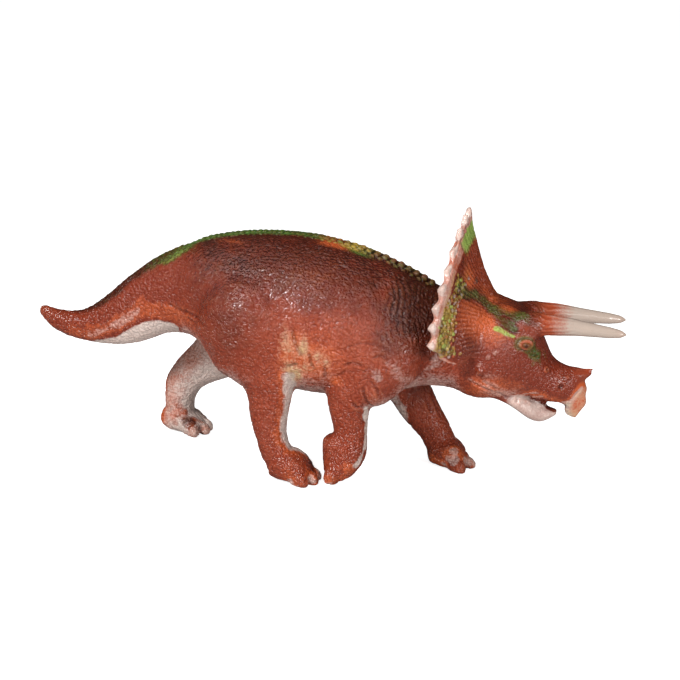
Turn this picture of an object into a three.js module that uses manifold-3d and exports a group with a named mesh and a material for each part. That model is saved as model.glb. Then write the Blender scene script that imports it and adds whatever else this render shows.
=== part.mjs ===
// Walking Triceratops play figure, moulded in solid PVC as ten pieces that plug together.
// Millimetres, +X towards the head, +Y to the animal's left, +Z up from the ground.
import * as THREE from "three";
import { mergeVertices } from "three/addons/utils/BufferGeometryUtils.js";
import Module from "manifold-3d";

const wasm = await Module();
wasm.setup();

// Sizes of the body. Heights are taken from a base line that lies a little below the soles.
const backHeight = 100;
const soleHeight = 1.6;
const trunkLength = 114;
const trunkWidth = 66;
const tailLength = 61.5;

// Sizes of the head
const headLength = 54;
const headDepth = 40;
const headWidth = 42;
const headHeight = 62;
const jawLength = 28.5;
const jawDepth = 10;
const jawWidth = 22;
const tongueWidth = 9;
const frillHeight = 42.5;
const frillDepth = 28;
const frillMiddleRise = 10;
const frillThickness = 3.2;
const frillTipHeight = 3;
const frillTipCount = 19;
const browHornLength = 44;
const browHornDiameter = 9;
const browHornSpread = 13.6;
const browBossDiameter = 13;
const noseHornLength = 9;
const noseHornDiameter = 10.4;
const cheekHornLength = 6;
const cheekHornDiameter = 9;
const eyeDiameter = 5.2;

// Sizes of the limbs. What lies along the body follows the trunk, so the feet keep their distance.
const trackWidth = 46;
const limbReach = trunkLength * 0.351;
const hindLimbDepth = trunkLength * 0.4035;
const hindLimbWidth = 27;
const frontLimbDepth = trunkLength * 0.307;
const frontLimbWidth = 25;
const hindFootLength = trunkLength * 0.1975;
const frontFootLength = trunkLength * 0.18;
const footWidth = 19;
const footHeight = 13;
const relaxedFootHeight = 10.5;
const pushingFootHeight = trunkLength * 0.152;
const hoofLength = hindFootLength * 0.338;
const hoofWidth = 5.8;
const hoofHeight = 6.2;
const pushingHoofLift = 2.5;

// Sizes of the scutes along the spine
const scutePitch = 3.6;
const scuteWidth = 3.2;
const scuteHeight = 1.2;
const scuteRowOffset = 1.7;

// Sizes of the seams and of the plugs that hold the pieces together
const seamGap = 0.3;
const cutOverrun = 4;
const limbRootInset = 10;
const limbSeamMargin = 2.2;
const limbPlugDiameter = 17;
const limbPlugLength = 5.5;
const tailPlugLength = 12;
const neckPlugLength = 14;
const jawPlugDiameter = 8;
const jawPlugLength = 6;
const plugTaperShare = 0.88;

const vinyl = { roughness: 0.42, metalness: 0 };
const hideMaterial = new THREE.MeshStandardMaterial({ color: 0x9c4530, ...vinyl });
const creamMaterial = new THREE.MeshStandardMaterial({ color: 0xdcc3b4, ...vinyl });

// Smooth row at a place between the rows of a table: a cubic through every column
function rowAt(rows, place) {
  const index = Math.min(Math.floor(place), rows.length - 2);
  const t = place - index;
  const here = rows[index];
  const next = rows[index + 1];
  const before = rows[index - 1] ?? here;
  const after = rows[index + 2] ?? next;
  return here.map((value, k) => {
    const slope = (next[k] - before[k]) / 2;
    const nextSlope = (after[k] - value) / 2;
    const rise = next[k] - value;
    const bend = 3 * rise - 2 * slope - nextSlope;
    return value + t * (slope + t * (bend + t * (slope + nextSlope - 2 * rise)));
  });
}

function smoothRows(rows, stepsPerRow) {
  const count = (rows.length - 1) * stepsPerRow;
  return Array.from({ length: count + 1 }, (_, k) => rowAt(rows, k / stepsPerRow));
}

// Points round one section of a body. A row holds the top and the bottom of the section in the
// side view (x, z, x, z), its half width, the side offset of its centre, and its pear share:
// how much wider it is below than above.
function sectionRing(row, { sides, roundness = 2, grow = 0 }) {
  const [topX, topZ, bottomX, bottomZ, half, side, pearShare] = row;
  const centre = new THREE.Vector3((topX + bottomX) / 2, side, (topZ + bottomZ) / 2);
  const upward = new THREE.Vector3(topX - bottomX, 0, topZ - bottomZ);
  const halfDepth = upward.length() / 2 + grow;
  upward.normalize();
  const bulge = (value) => Math.sign(value) * Math.abs(value) ** (2 / roundness);
  return Array.from({ length: sides }, (_, k) => {
    const angle = (2 * Math.PI * k) / sides;
    const up = bulge(Math.sin(angle));
    const across = bulge(Math.cos(angle)) * (1 - pearShare * up);
    const point = centre.clone().addScaledVector(upward, halfDepth * up);
    return point.setY(side + (half + grow) * across);
  });
}

// Closed skin over rings of equal count, each end closed on its middle point
function skinGeometry(rings) {
  const sides = rings[0].length;
  const lastRing = (rings.length - 1) * sides;
  const middle = (ring) => ring.reduce((sum, point) => sum.add(point), new THREE.Vector3())
    .divideScalar(sides);
  const points = [...rings.flat(), middle(rings[0]), middle(rings.at(-1))];
  const faces = [];
  for (let k = 0; k < sides; k++) {
    const next = (k + 1) % sides;
    faces.push(points.length - 2, next, k);
    faces.push(points.length - 1, lastRing + k, lastRing + next);
    for (let low = 0; low < lastRing; low += sides) {
      faces.push(low + k, low + next, low + sides + next);
      faces.push(low + k, low + sides + next, low + sides + k);
    }
  }
  const geometry = new THREE.BufferGeometry().setFromPoints(points);
  geometry.setIndex(faces);
  return geometry;
}

// A closed geometry as a solid, with its faces turned outwards
function solidOf(geometry) {
  const bare = geometry.clone();
  bare.deleteAttribute("normal");
  bare.deleteAttribute("uv");
  const merged = mergeVertices(bare);
  const vertProperties = new Float32Array(merged.attributes.position.array);
  const triVerts = new Uint32Array(merged.index.array);
  const solid = new wasm.Manifold(new wasm.Mesh({ numProp: 3, vertProperties, triVerts }));
  if (solid.volume() > 0) return solid;
  triVerts.reverse();
  return new wasm.Manifold(new wasm.Mesh({ numProp: 3, vertProperties, triVerts }));
}

function loft(rows, { stepsPerRow = 2, ...section }) {
  const rings = smoothRows(rows, stepsPerRow).map((row) => sectionRing(row, section));
  return solidOf(skinGeometry(rings));
}

function placed(geometry, ...moves) {
  const moved = geometry.clone();
  moves.forEach((move) => moved.applyMatrix4(move));
  return solidOf(moved);
}

function shift(x, y, z) {
  return new THREE.Matrix4().makeTranslation(x, y, z);
}

function turn(axis, angle) {
  return new THREE.Matrix4().makeRotationAxis(axis, angle);
}

const alongX = new THREE.Vector3(1, 0, 0);
const alongY = new THREE.Vector3(0, 1, 0);
const alongZ = new THREE.Vector3(0, 0, 1);

function joined(solids) {
  return solids.reduce((whole, solid) => whole.add(solid));
}

function pieceMesh(name, solid, material) {
  const { vertProperties, triVerts } = solid.getMesh();
  const geometry = new THREE.BufferGeometry();
  geometry.setAttribute("position", new THREE.BufferAttribute(vertProperties, 3));
  geometry.setIndex(new THREE.BufferAttribute(triVerts, 1));
  const mesh = new THREE.Mesh(geometry, material);
  geometry.computeVertexNormals();
  mesh.name = name;
  return mesh;
}

// A tapered oval plug along +X. Its root starts inside the piece that carries it.
const plugSection = { sides: 16 };
function plugGeometry({ halfWidth, halfHeight, length }, grow = 0) {
  const rings = [[-cutOverrun, 1], [length + grow, plugTaperShare]].map(([along, share]) => {
    const high = halfHeight * share + grow;
    return sectionRing([along, high, along, -high, halfWidth * share + grow, 0, 0], plugSection);
  });
  return skinGeometry(rings);
}

// Trunk, from the tail seam at x = 0 to the neck seam
// Rows: along, top, bottom, half width, pear share
const trunkShares = [
  [0, 0.887, 0.517, 0.455, 0.02],
  [0.05, 0.915, 0.512, 0.56, 0.04],
  [0.1, 0.936, 0.478, 0.665, 0.08],
  [0.2, 0.964, 0.415, 0.835, 0.12],
  [0.3, 0.98, 0.38, 0.925, 0.14],
  [0.4, 0.986, 0.362, 0.97, 0.15],
  [0.5, 0.98, 0.355, 1, 0.15],
  [0.6, 0.96, 0.357, 0.985, 0.13],
  [0.7, 0.929, 0.366, 0.92, 0.1],
  [0.8, 0.889, 0.394, 0.79, 0.06],
  [0.9, 0.84, 0.434, 0.63, 0.02],
  [1, 0.795, 0.434, 0.53, 0],
];
const trunkSection = { sides: 30, roundness: 2.25 };
const trunkRows = trunkShares.map(([along, top, bottom, half, pearShare]) => {
  const x = along * trunkLength;
  return [x, top * backHeight, x, bottom * backHeight, (half * trunkWidth) / 2, 0, pearShare];
});
const [, tailSeamTop, , tailSeamBottom, tailSeamHalf] = trunkRows[0];
const [neckSeamX, neckSeamTop, , neckSeamBottom, neckSeamHalf] = trunkRows.at(-1);

// Tail, from its seam backwards to the blunt upturned tip. It starts on the trunk's own section.
// Rows: along, top, bottom, share of the seam's half width
const tailShares = [
  [0.1, 0.857, 0.505, 0.85],
  [0.2, 0.819, 0.473, 0.75],
  [0.3, 0.77, 0.446, 0.67],
  [0.4, 0.713, 0.43, 0.6],
  [0.5, 0.65, 0.425, 0.53],
  [0.6, 0.592, 0.425, 0.465],
  [0.7, 0.552, 0.429, 0.385],
  [0.8, 0.538, 0.438, 0.295],
  [0.9, 0.543, 0.463, 0.2],
  [0.96, 0.553, 0.492, 0.125],
  [1, 0.553, 0.518, 0.06],
];
const tailSection = { sides: 20, roundness: 2.25, stepsPerRow: 1 };
const tailRows = [
  [-seamGap, tailSeamTop, -seamGap, tailSeamBottom, tailSeamHalf, 0, 0],
  ...tailShares.map(([along, top, bottom, half]) => {
    const x = -seamGap - along * tailLength;
    return [x, top * backHeight, x, bottom * backHeight, half * tailSeamHalf, 0, 0];
  }),
];

// A double row of small pointed scutes that follows the top line of a body's rows
const scuteSides = 5;
const scuteLineSteps = 24;
const scuteSunkShare = 0.45;
function spineScutes(rows, { from, to }) {
  const line = smoothRows(rows, scuteLineSteps);
  const widest = line[0][4];
  const solids = [];
  let travelled = 0;
  line.slice(1).forEach((row, k) => {
    const step = new THREE.Vector2(row[0] - line[k][0], row[1] - line[k][1]);
    travelled += step.length();
    if (travelled < scutePitch / 2) return;
    travelled -= scutePitch / 2;
    if (row[0] < from || row[0] > to) return;
    const size = (1 + Math.min(row[4] / widest, 1)) / 2;
    const side = scuteRowOffset * size * (solids.length % 2 ? 1 : -1);
    const slope = Math.atan(step.y / step.x);
    const height = scuteHeight * size;
    const scute = new THREE.ConeGeometry((scuteWidth * size) / 2, height * (1 + scuteSunkShare), scuteSides);
    const lift = (height * (1 - scuteSunkShare)) / 2;
    solids.push(placed(scute, turn(alongX, Math.PI / 2), shift(0, 0, lift), turn(alongY, -slope),
      shift(row[0], side, row[1] - dropAt(row, side))));
  });
  return solids;
}

// How far the hide lies below its top line at a side offset
function dropAt([, top, , bottom, half], side) {
  const { roundness } = trunkSection;
  return ((top - bottom) / 2) * (1 - (1 - Math.abs(side / half) ** roundness) ** (1 / roundness));
}

// Limbs: a column swept along a bent path, ending in a hoofed foot
// Rows: forward of the joint, height, depth, side, width
const rightHindShares = [
  [0.03, 0.86, 0.36, 0.55, 0.5],
  [0.01, 0.8, 0.68, 0.76, 0.8],
  [0, 0.72, 0.9, 0.88, 0.96],
  [0, 0.61, 1, 0.91, 1],
  [0.06, 0.515, 0.76, 0.92, 0.88],
  [0.21, 0.43, 0.49, 0.94, 0.69],
  [0.235, 0.365, 0.4, 0.95, 0.61],
  [0.24, 0.3, 0.355, 0.96, 0.57],
  [0.255, 0.24, 0.31, 0.96, 0.54],
  [0.285, 0.19, 0.27, 0.96, 0.54],
  [0.345, 0.13, 0.27, 0.96, 0.54],
  [0.42, 0.08, 0.25, 0.96, 0.5],
];
const leftHindShares = [
  [0, 0.86, 0.36, 0.55, 0.5],
  [-0.01, 0.8, 0.68, 0.76, 0.8],
  [-0.04, 0.72, 0.88, 0.88, 0.96],
  [-0.07, 0.61, 0.9, 0.93, 1],
  [-0.15, 0.52, 0.58, 0.97, 0.89],
  [-0.38, 0.43, 0.52, 1, 0.74],
  [-0.6, 0.365, 0.48, 1.03, 0.63],
  [-0.745, 0.315, 0.39, 1.05, 0.57],
  [-0.86, 0.27, 0.35, 1.05, 0.54],
  [-0.93, 0.22, 0.33, 1.05, 0.54],
  [-0.945, 0.17, 0.29, 1.05, 0.52],
  [-0.935, 0.12, 0.26, 1.05, 0.5],
  [-0.91, 0.08, 0.25, 1.05, 0.48],
];
const rightFrontShares = [
  [0.05, 0.8, 0.5, 0.42, 0.5],
  [0.04, 0.74, 0.78, 0.62, 0.82],
  [0.02, 0.66, 0.95, 0.77, 0.98],
  [-0.03, 0.57, 1, 0.85, 1],
  [-0.16, 0.485, 0.84, 0.89, 0.88],
  [-0.265, 0.42, 0.67, 0.91, 0.74],
  [-0.287, 0.36, 0.5, 0.92, 0.64],
  [-0.262, 0.3, 0.42, 0.92, 0.58],
  [-0.243, 0.25, 0.385, 0.92, 0.56],
  [-0.24, 0.21, 0.4, 0.92, 0.56],
  [-0.25, 0.15, 0.38, 0.92, 0.54],
];
const leftFrontShares = [
  [0.05, 0.8, 0.5, 0.42, 0.5],
  [0.04, 0.74, 0.78, 0.62, 0.82],
  [0.02, 0.66, 0.92, 0.77, 0.96],
  [0.02, 0.57, 0.92, 0.85, 0.96],
  [0.05, 0.48, 0.78, 0.92, 0.84],
  [0.125, 0.4, 0.58, 0.98, 0.72],
  [0.185, 0.34, 0.54, 1.02, 0.66],
  [0.275, 0.285, 0.5, 1.05, 0.62],
  [0.36, 0.24, 0.46, 1.06, 0.58],
  [0.445, 0.2, 0.42, 1.06, 0.56],
  [0.52, 0.165, 0.39, 1.06, 0.54],
  [0.58, 0.125, 0.38, 1.06, 0.54],
  [0.655, 0.08, 0.34, 1.06, 0.5],
];
const limbSection = { sides: 16, roundness: 2.1, stepsPerRow: 1 };

// Turns a limb's table into sections that stand square to its path, front edge first
function limbRows({ shares, jointX, depth, width, sign }) {
  const path = shares.map(([forward, height]) => new THREE.Vector2(
    jointX + forward * limbReach, height * backHeight));
  return shares.map(([, , depthShare, sideShare, widthShare], k) => {
    const along = new THREE.Vector2().subVectors(path[k + 1] ?? path[k], path[k - 1] ?? path[k]);
    const forward = new THREE.Vector2(-along.y, along.x).setLength((depthShare * depth) / 2);
    const front = path[k].clone().add(forward);
    const rear = path[k].clone().sub(forward);
    const side = (sign * sideShare * trackWidth) / 2;
    return [front.x, front.y, rear.x, rear.y, (widthShare * width) / 2, side, 0];
  });
}

// The space that a limb's root takes out of the trunk: the limb's own side outline, a little
// larger and rounded off above, from near the middle of the body outwards
function limbZone({ shares, jointX, depth, sign }, grow) {
  const margin = limbSeamMargin + grow;
  const edges = smoothRows(shares, 2).map(([forward, height, depthShare]) => ({
    middle: jointX + forward * limbReach,
    reach: (depthShare * depth) / 2 + margin,
    z: height * backHeight,
  }));
  const crown = new THREE.Vector2(edges[0].middle, edges[0].z + margin);
  const front = edges.map(({ middle, reach, z }) => new THREE.Vector2(middle + reach, z));
  const rear = edges.map(({ middle, reach, z }) => new THREE.Vector2(middle - reach, z));
  const outline = new THREE.Shape([crown, ...front, ...rear.reverse()]);
  const root = new THREE.ExtrudeGeometry(outline, { depth: trunkWidth, bevelEnabled: false });
  const inner = limbRootInset - grow;
  return placed(root, turn(alongX, Math.PI / 2), shift(0, sign > 0 ? inner + trunkWidth : -inner, 0));
}

// Rows of a foot from heel to hoof roots: along, top, sole, width
const flatFootShares = [
  [0, 0.8, 0.35, 0.45],
  [0.08, 0.98, 0.08, 0.72],
  [0.26, 1.04, 0, 0.88],
  [0.48, 1, -0.02, 1],
  [0.66, 0.8, -0.02, 0.98],
  [0.78, 0.56, 0.06, 0.8],
];
const pushingFootShares = [
  [0, 0.93, 0, 0.72],
  [0.06, 1, -0.03, 0.82],
  [0.3, 1.02, -0.02, 0.92],
  [0.5, 0.94, 0.02, 1],
  [0.68, 0.8, 0.06, 0.98],
  [0.82, 0.62, 0.12, 0.8],
];
// Rows of a hoof: along, top, sole, width
const hoofShares = [
  [0, 0.95, 0, 0.8],
  [0.4, 1, -0.05, 1],
  [0.8, 0.76, -0.05, 0.88],
  [1, 0.42, 0.12, 0.4],
];
const footSection = { sides: 14, roundness: 2.4, stepsPerRow: 1 };
const hoofSection = { sides: 7, roundness: 2.5, stepsPerRow: 1 };
const hoofRootShare = 0.66;
const hoofSetBackShare = 0.14;
const hoofSpreadShare = 0.66;
const hoofFanAngle = 0.5;

// Rows of upright sections whose table holds along, top, bottom and width
function uprightRows(shares, { length, height, width }) {
  return shares.map(([along, top, bottom, wide]) => [
    along * length, top * height, along * length, bottom * height, (wide * width) / 2, 0, 0,
  ]);
}

function footSolid({ footShares, hoofLift, x, z, side, length, height, hoofCount, pitch }) {
  const pad = loft(uprightRows(footShares, { length, height, width: footWidth }), footSection);
  const hoofRows = uprightRows(hoofShares, { length: hoofLength, height: hoofHeight, width: hoofWidth });
  const hooves = Array.from({ length: hoofCount }, (_, k) => {
    const fan = (2 * k) / (hoofCount - 1) - 1;
    const rootX = length * (hoofRootShare - hoofSetBackShare * fan * fan);
    const rootY = (fan * hoofSpreadShare * footWidth) / 2;
    const place = turn(alongZ, fan * hoofFanAngle).setPosition(rootX, rootY, hoofLift);
    return loft(hoofRows, hoofSection).transform(place.elements);
  });
  return joined([pad, ...hooves]).transform(turn(alongY, pitch).setPosition(x, side, z).elements);
}

const underGround = placed(
  new THREE.BoxGeometry(2 * trunkLength, 2 * trunkWidth, backHeight),
  shift(trunkLength / 2, 0, soleHeight - backHeight / 2));

// Each limb: where it leaves the trunk, on which side, and how its foot stands. The right front
// foot pushes off, upright on its hooves, and the others stand flat.
const flatFoot = { footShares: flatFootShares, height: footHeight, pitch: 0, hoofLift: 0, z: soleHeight };
const hindLimb = {
  jointShare: 0.29, depth: hindLimbDepth, width: hindLimbWidth,
  hoofCount: 4, length: hindFootLength, ...flatFoot,
};
const frontLimb = {
  jointShare: 0.755, depth: frontLimbDepth, width: frontLimbWidth,
  hoofCount: 3, length: frontFootLength, ...flatFoot,
};
const limbs = [
  { ...hindLimb, name: "right_hind_leg", sign: -1, shares: rightHindShares, heelShare: 0.275 },
  {
    ...hindLimb, name: "left_hind_leg", sign: 1, shares: leftHindShares, heelShare: -1.12,
    height: relaxedFootHeight,
  },
  { ...frontLimb, name: "left_front_leg", sign: 1, shares: leftFrontShares, heelShare: 0.465 },
  {
    ...frontLimb, name: "right_front_leg", sign: -1, shares: rightFrontShares, heelShare: -0.5,
    footShares: pushingFootShares, height: pushingFootHeight, pitch: Math.PI / 2,
    hoofLift: pushingHoofLift, z: soleHeight + frontFootLength,
  },
];

const wholeTrunk = loft(trunkRows, trunkSection);
const clearTrunk = loft(trunkRows, { ...trunkSection, grow: seamGap });
const limbPlug = {
  halfWidth: limbPlugDiameter / 2, halfHeight: limbPlugDiameter / 2, length: limbPlugLength,
};
const limbMeshes = [];
let cutTrunk = wholeTrunk;
for (const limb of limbs) {
  limb.jointX = limb.jointShare * trunkLength;
  const rows = limbRows(limb);
  const x = limb.jointX + limb.heelShare * limbReach;
  const foot = footSolid({ ...limb, x, side: rows.at(-1)[5] });
  const column = loft(rows, limbSection).add(foot);
  const [, , , plugRow] = limb.shares;
  const plugPlace = [
    turn(alongZ, (-limb.sign * Math.PI) / 2),
    shift(limb.jointX, limb.sign * limbRootInset, plugRow[1] * backHeight),
  ];
  const body = wholeTrunk.add(column)
    .intersect(limbZone(limb, 0))
    .add(column.subtract(clearTrunk))
    .subtract(underGround)
    .add(placed(plugGeometry(limbPlug), ...plugPlace));
  cutTrunk = cutTrunk.subtract(limbZone(limb, seamGap))
    .subtract(placed(plugGeometry(limbPlug, seamGap), ...plugPlace));
  limbMeshes.push(pieceMesh(limb.name, body, hideMaterial));
}

// The tail plugs into the trunk, and the trunk's neck plugs into the skull
const seamPlugShare = 0.6;
const scutedTailShare = 0.62;
const tailPlug = {
  halfWidth: tailSeamHalf * seamPlugShare,
  halfHeight: ((tailSeamTop - tailSeamBottom) / 2) * seamPlugShare,
  length: tailPlugLength,
};
const neckPlug = {
  halfWidth: neckSeamHalf * seamPlugShare,
  halfHeight: ((neckSeamTop - neckSeamBottom) / 2) * seamPlugShare,
  length: neckPlugLength,
};
const tailPlugPlace = shift(0, 0, (tailSeamTop + tailSeamBottom) / 2);
const neckPlugPlace = shift(neckSeamX, 0, (neckSeamTop + neckSeamBottom) / 2);
const tail = joined([
  loft(tailRows, tailSection),
  placed(plugGeometry(tailPlug), tailPlugPlace),
  ...spineScutes(tailRows, { from: -scutedTailShare * tailLength, to: -scutePitch / 2 }),
]);
const torso = joined([
  cutTrunk,
  placed(plugGeometry(neckPlug), neckPlugPlace),
  ...spineScutes(trunkRows, { from: scutePitch / 2, to: neckSeamX - frillDepth / 2 }),
]).subtract(placed(plugGeometry(tailPlug, seamGap), tailPlugPlace));

// Skull, from the neck seam to the hooked beak. It starts on the trunk's own section.
// Rows: top along, top rise, bottom along, bottom rise, half width
const skullShares = [
  [0.148, 0.53, 0.111, -0.52, 0.93],
  [0.278, 0.52, 0.222, -0.53, 1],
  [0.389, 0.48, 0.333, -0.49, 0.95],
  [0.481, 0.41, 0.435, -0.47, 0.83],
  [0.583, 0.25, 0.528, -0.46, 0.67],
  [0.645, 0.12, 0.59, -0.465, 0.57],
  [0.69, 0, 0.65, -0.475, 0.49],
  [0.746, -0.07, 0.709, -0.485, 0.43],
  [0.824, -0.105, 0.793, -0.485, 0.36],
  [0.907, -0.11, 0.855, -0.52, 0.27],
  [0.972, -0.17, 0.885, -0.61, 0.18],
  [1.005, -0.33, 0.935, -0.64, 0.08],
];
const skullSection = { sides: 24, roundness: 2.2 };
const skullX = neckSeamX + seamGap;
const skullRows = [
  [skullX, neckSeamTop, skullX, neckSeamBottom, neckSeamHalf, 0, 0],
  ...skullShares.map(([topAlong, topRise, bottomAlong, bottomRise, half]) => [
    skullX + topAlong * headLength, headHeight + topRise * headDepth,
    skullX + bottomAlong * headLength, headHeight + bottomRise * headDepth,
    (half * headWidth) / 2, 0, 0,
  ]),
];

// Frill: a shield swept round the back of the skull, hollow in front, with points round its rim
// Rows: turn from the top, rim radius, rim along, root radius, root along, hollow
const frillShares = [
  [0, 0.975, -0.03, 0.19, 0.71, 2.1],
  [0.133, 0.97, -0.06, 0.193, 0.7, 2.05],
  [0.303, 0.905, -0.12, 0.21, 0.68, 1.95],
  [0.51, 0.838, -0.185, 0.265, 0.64, 1.75],
  [0.662, 0.81, -0.25, 0.335, 0.61, 1.5],
  [0.846, 0.8, -0.25, 0.41, 0.55, 1.3],
  [0.93, 0.737, -0.13, 0.455, 0.5, 1.2],
  [1, 0.68, 0.05, 0.5, 0.45, 1.1],
];
const frillHalfTurn = 2.04;
const frillStepShares = [0, 0.08, 0.2, 0.38, 0.6, 0.8, 1];
const frillRimShare = 0.7;
const frillTipSteps = 2;

// The smoothed row of a table at a value of its first column
function rowWhere(rows, value) {
  const next = Math.max(1, rows.findIndex((row) => row[0] >= value));
  const [from] = rows[next - 1];
  const [to] = rows[next];
  return rowAt(rows, next - 1 + (value - from) / (to - from));
}

function frillRing(sweep, tipShare) {
  const [, rimRadius, rimAlong, rootRadius, rootAlong, hollow] = rowWhere(frillShares, Math.abs(sweep));
  const face = frillStepShares.map((t) => new THREE.Vector2(
    frillDepth * (rimAlong + (rootAlong - rimAlong) * t),
    frillHeight * (rootRadius + (rimRadius - rootRadius) * (1 - t) ** hollow)));
  const back = face.map((point, k) => {
    const along = new THREE.Vector2().subVectors(face[k + 1] ?? point, face[k - 1] ?? point);
    const thickShare = frillRimShare + (1 - frillRimShare) * Math.min(1, k / 2);
    return new THREE.Vector2(along.y, -along.x).setLength(frillThickness * thickShare).add(point);
  });
  const tip = new THREE.Vector2().subVectors(face[0], face[1]).setLength(frillTipHeight * tipShare);
  face[0].add(tip);
  back[0].add(tip);
  const angle = sweep * frillHalfTurn;
  return [...face, ...back.reverse()].map(({ x, y }) => new THREE.Vector3(
    skullX + x, y * Math.sin(angle), headHeight + frillMiddleRise + y * Math.cos(angle)));
}

const frillSteps = frillTipCount * frillTipSteps;
const frill = solidOf(skinGeometry(Array.from({ length: frillSteps + 1 }, (_, k) => {
  const tipShare = (1 - Math.cos((2 * Math.PI * k) / frillTipSteps)) / 2;
  return frillRing((2 * k) / frillSteps - 1, tipShare);
})));

// Brow horns, each seated in a boss of the skull above the eye
// Rows: along, rise, diameter, spread
const browHornShares = [
  [0, 0.275, 0.92, 0.66],
  [0.15, 0.3, 1, 0.73],
  [0.3, 0.316, 0.92, 0.78],
  [0.45, 0.327, 0.83, 0.83],
  [0.6, 0.331, 0.7, 0.88],
  [0.75, 0.331, 0.59, 0.93],
  [0.85, 0.331, 0.52, 0.96],
  [0.95, 0.332, 0.37, 0.99],
  [1, 0.333, 0.1, 1],
];
const browBossShares = [
  [-0.3, 0.19, 0.6, 0.6],
  [-0.12, 0.235, 0.95, 0.64],
  [0.04, 0.262, 1.02, 0.68],
  [0.16, 0.28, 0.97, 0.73],
  [0.23, 0.29, 0.8, 0.755],
];
const browHornRootShare = 0.4;
const hornSection = { sides: 12, stepsPerRow: 1 };
function hornSolid(shares, { fullDiameter, sign, grow = 0 }) {
  return loft(shares.map(([along, rise, diameter, spread]) => {
    const x = skullX + browHornRootShare * headLength + along * browHornLength;
    const z = headHeight + rise * browHornLength;
    const half = (diameter * fullDiameter) / 2;
    return [x, z + half, x, z - half, half, sign * spread * browHornSpread, 0];
  }), { ...hornSection, grow });
}
const browHorn = { fullDiameter: browHornDiameter };

// Small pointed horns of the nose and the cheeks, and the round eyes
const noseHornPlace = { along: 0.865, rise: -0.185, side: 0, tilt: 0.3 };
const cheekHornPlace = { along: 0.21, rise: -0.13, side: 0.46 };
const cheekHornLean = { back: 1, out: 2, down: 1 };
const eyePlace = { along: 0.515, rise: 0.17, side: 0.365 };
const pointSides = 8;
function headPoint({ along, rise, side }, sign = 1) {
  return new THREE.Vector3(
    skullX + along * headLength, sign * side * headWidth, headHeight + rise * headDepth);
}
function pointSolid({ length, diameter, direction, base }) {
  const cone = new THREE.ConeGeometry(diameter / 2, 2 * length, pointSides);
  const lean = new THREE.Quaternion().setFromUnitVectors(alongY, direction.normalize());
  return placed(cone, new THREE.Matrix4().makeRotationFromQuaternion(lean).setPosition(base));
}
const noseHorn = pointSolid({
  length: noseHornLength,
  diameter: noseHornDiameter,
  direction: new THREE.Vector3(Math.cos(noseHornPlace.tilt), 0, Math.sin(noseHornPlace.tilt)),
  base: headPoint(noseHornPlace),
});
function sideDetails(sign) {
  const cheekHorn = pointSolid({
    length: cheekHornLength,
    diameter: cheekHornDiameter,
    direction: new THREE.Vector3(-cheekHornLean.back, sign * cheekHornLean.out, -cheekHornLean.down),
    base: headPoint(cheekHornPlace, sign),
  });
  const eye = placed(new THREE.SphereGeometry(eyeDiameter / 2, pointSides, pointSides / 2),
    new THREE.Matrix4().setPosition(headPoint(eyePlace, sign)));
  return [cheekHorn, eye, hornSolid(browBossShares, { fullDiameter: browBossDiameter, sign })];
}

// Lower jaw with the tongue moulded on it. Its seam runs from the throat to the corner of the
// mouth and on through the open mouth. Rows: top along, top rise, bottom along, bottom rise, half
const jawShares = [
  [0, 0.25, 0, 0.05, 0.9],
  [0.21, 0.35, 0.19, -0.03, 1],
  [0.45, 0.35, 0.41, -0.36, 0.95],
  [0.62, 0.15, 0.6, -0.71, 0.8],
  [0.765, -0.12, 0.76, -0.84, 0.58],
  [0.9, -0.22, 0.89, -0.7, 0.4],
  [1, -0.27, 1, -0.47, 0.2],
];
const tongueShares = [
  [0.55, 0.2, -0.6, 0.6],
  [0.66, 0.22, -0.6, 1],
  [0.76, 0.12, -0.6, 1],
  [0.84, 0, -0.6, 0.7],
];
const jawSeamShares = [
  [-0.02, -1.5], [0.05, 0.12], [0.3, 0.38], [0.55, 0.38], [0.64, 0.15],
  [0.76, -0.03], [0.9, -0.12], [1.03, -0.2], [1.05, -1.5],
];
const jawRootShare = { along: 0.26, rise: -0.5 };
const jawSection = { sides: 16, roundness: 2.3 };
const jawX = skullX + jawRootShare.along * headLength;
const jawZ = headHeight + jawRootShare.rise * headDepth;
const jawLoft = loft(jawShares.map(([topAlong, topRise, bottomAlong, bottomRise, half]) => [
  jawX + topAlong * jawLength, jawZ + topRise * jawDepth,
  jawX + bottomAlong * jawLength, jawZ + bottomRise * jawDepth,
  (half * jawWidth) / 2, 0, 0,
]), jawSection);
const tongue = loft(uprightRows(tongueShares, { length: jawLength, height: jawDepth, width: tongueWidth }),
  hoofSection).translate([jawX, 0, jawZ]);

function jawZone(grow) {
  const outline = jawSeamShares.map(([along, rise]) => new THREE.Vector2(
    jawX + along * jawLength, jawZ + rise * jawDepth + grow));
  outline[0].x -= grow;
  outline[1].x -= grow;
  const slab = { depth: 2 * headWidth, bevelEnabled: false };
  const side = new THREE.ExtrudeGeometry(new THREE.Shape(outline), slab);
  return placed(side, turn(alongX, Math.PI / 2), shift(0, headWidth, 0));
}
const jawPlug = {
  halfWidth: jawPlugDiameter / 2, halfHeight: jawPlugDiameter / 2, length: jawPlugLength,
};
const jawPlugShare = { along: 0.4, rise: 0.38 };
const jawPlugPlace = [
  turn(alongY, -Math.PI / 2),
  shift(jawX + jawPlugShare.along * jawLength, 0, jawZ + jawPlugShare.rise * jawDepth),
];

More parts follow.
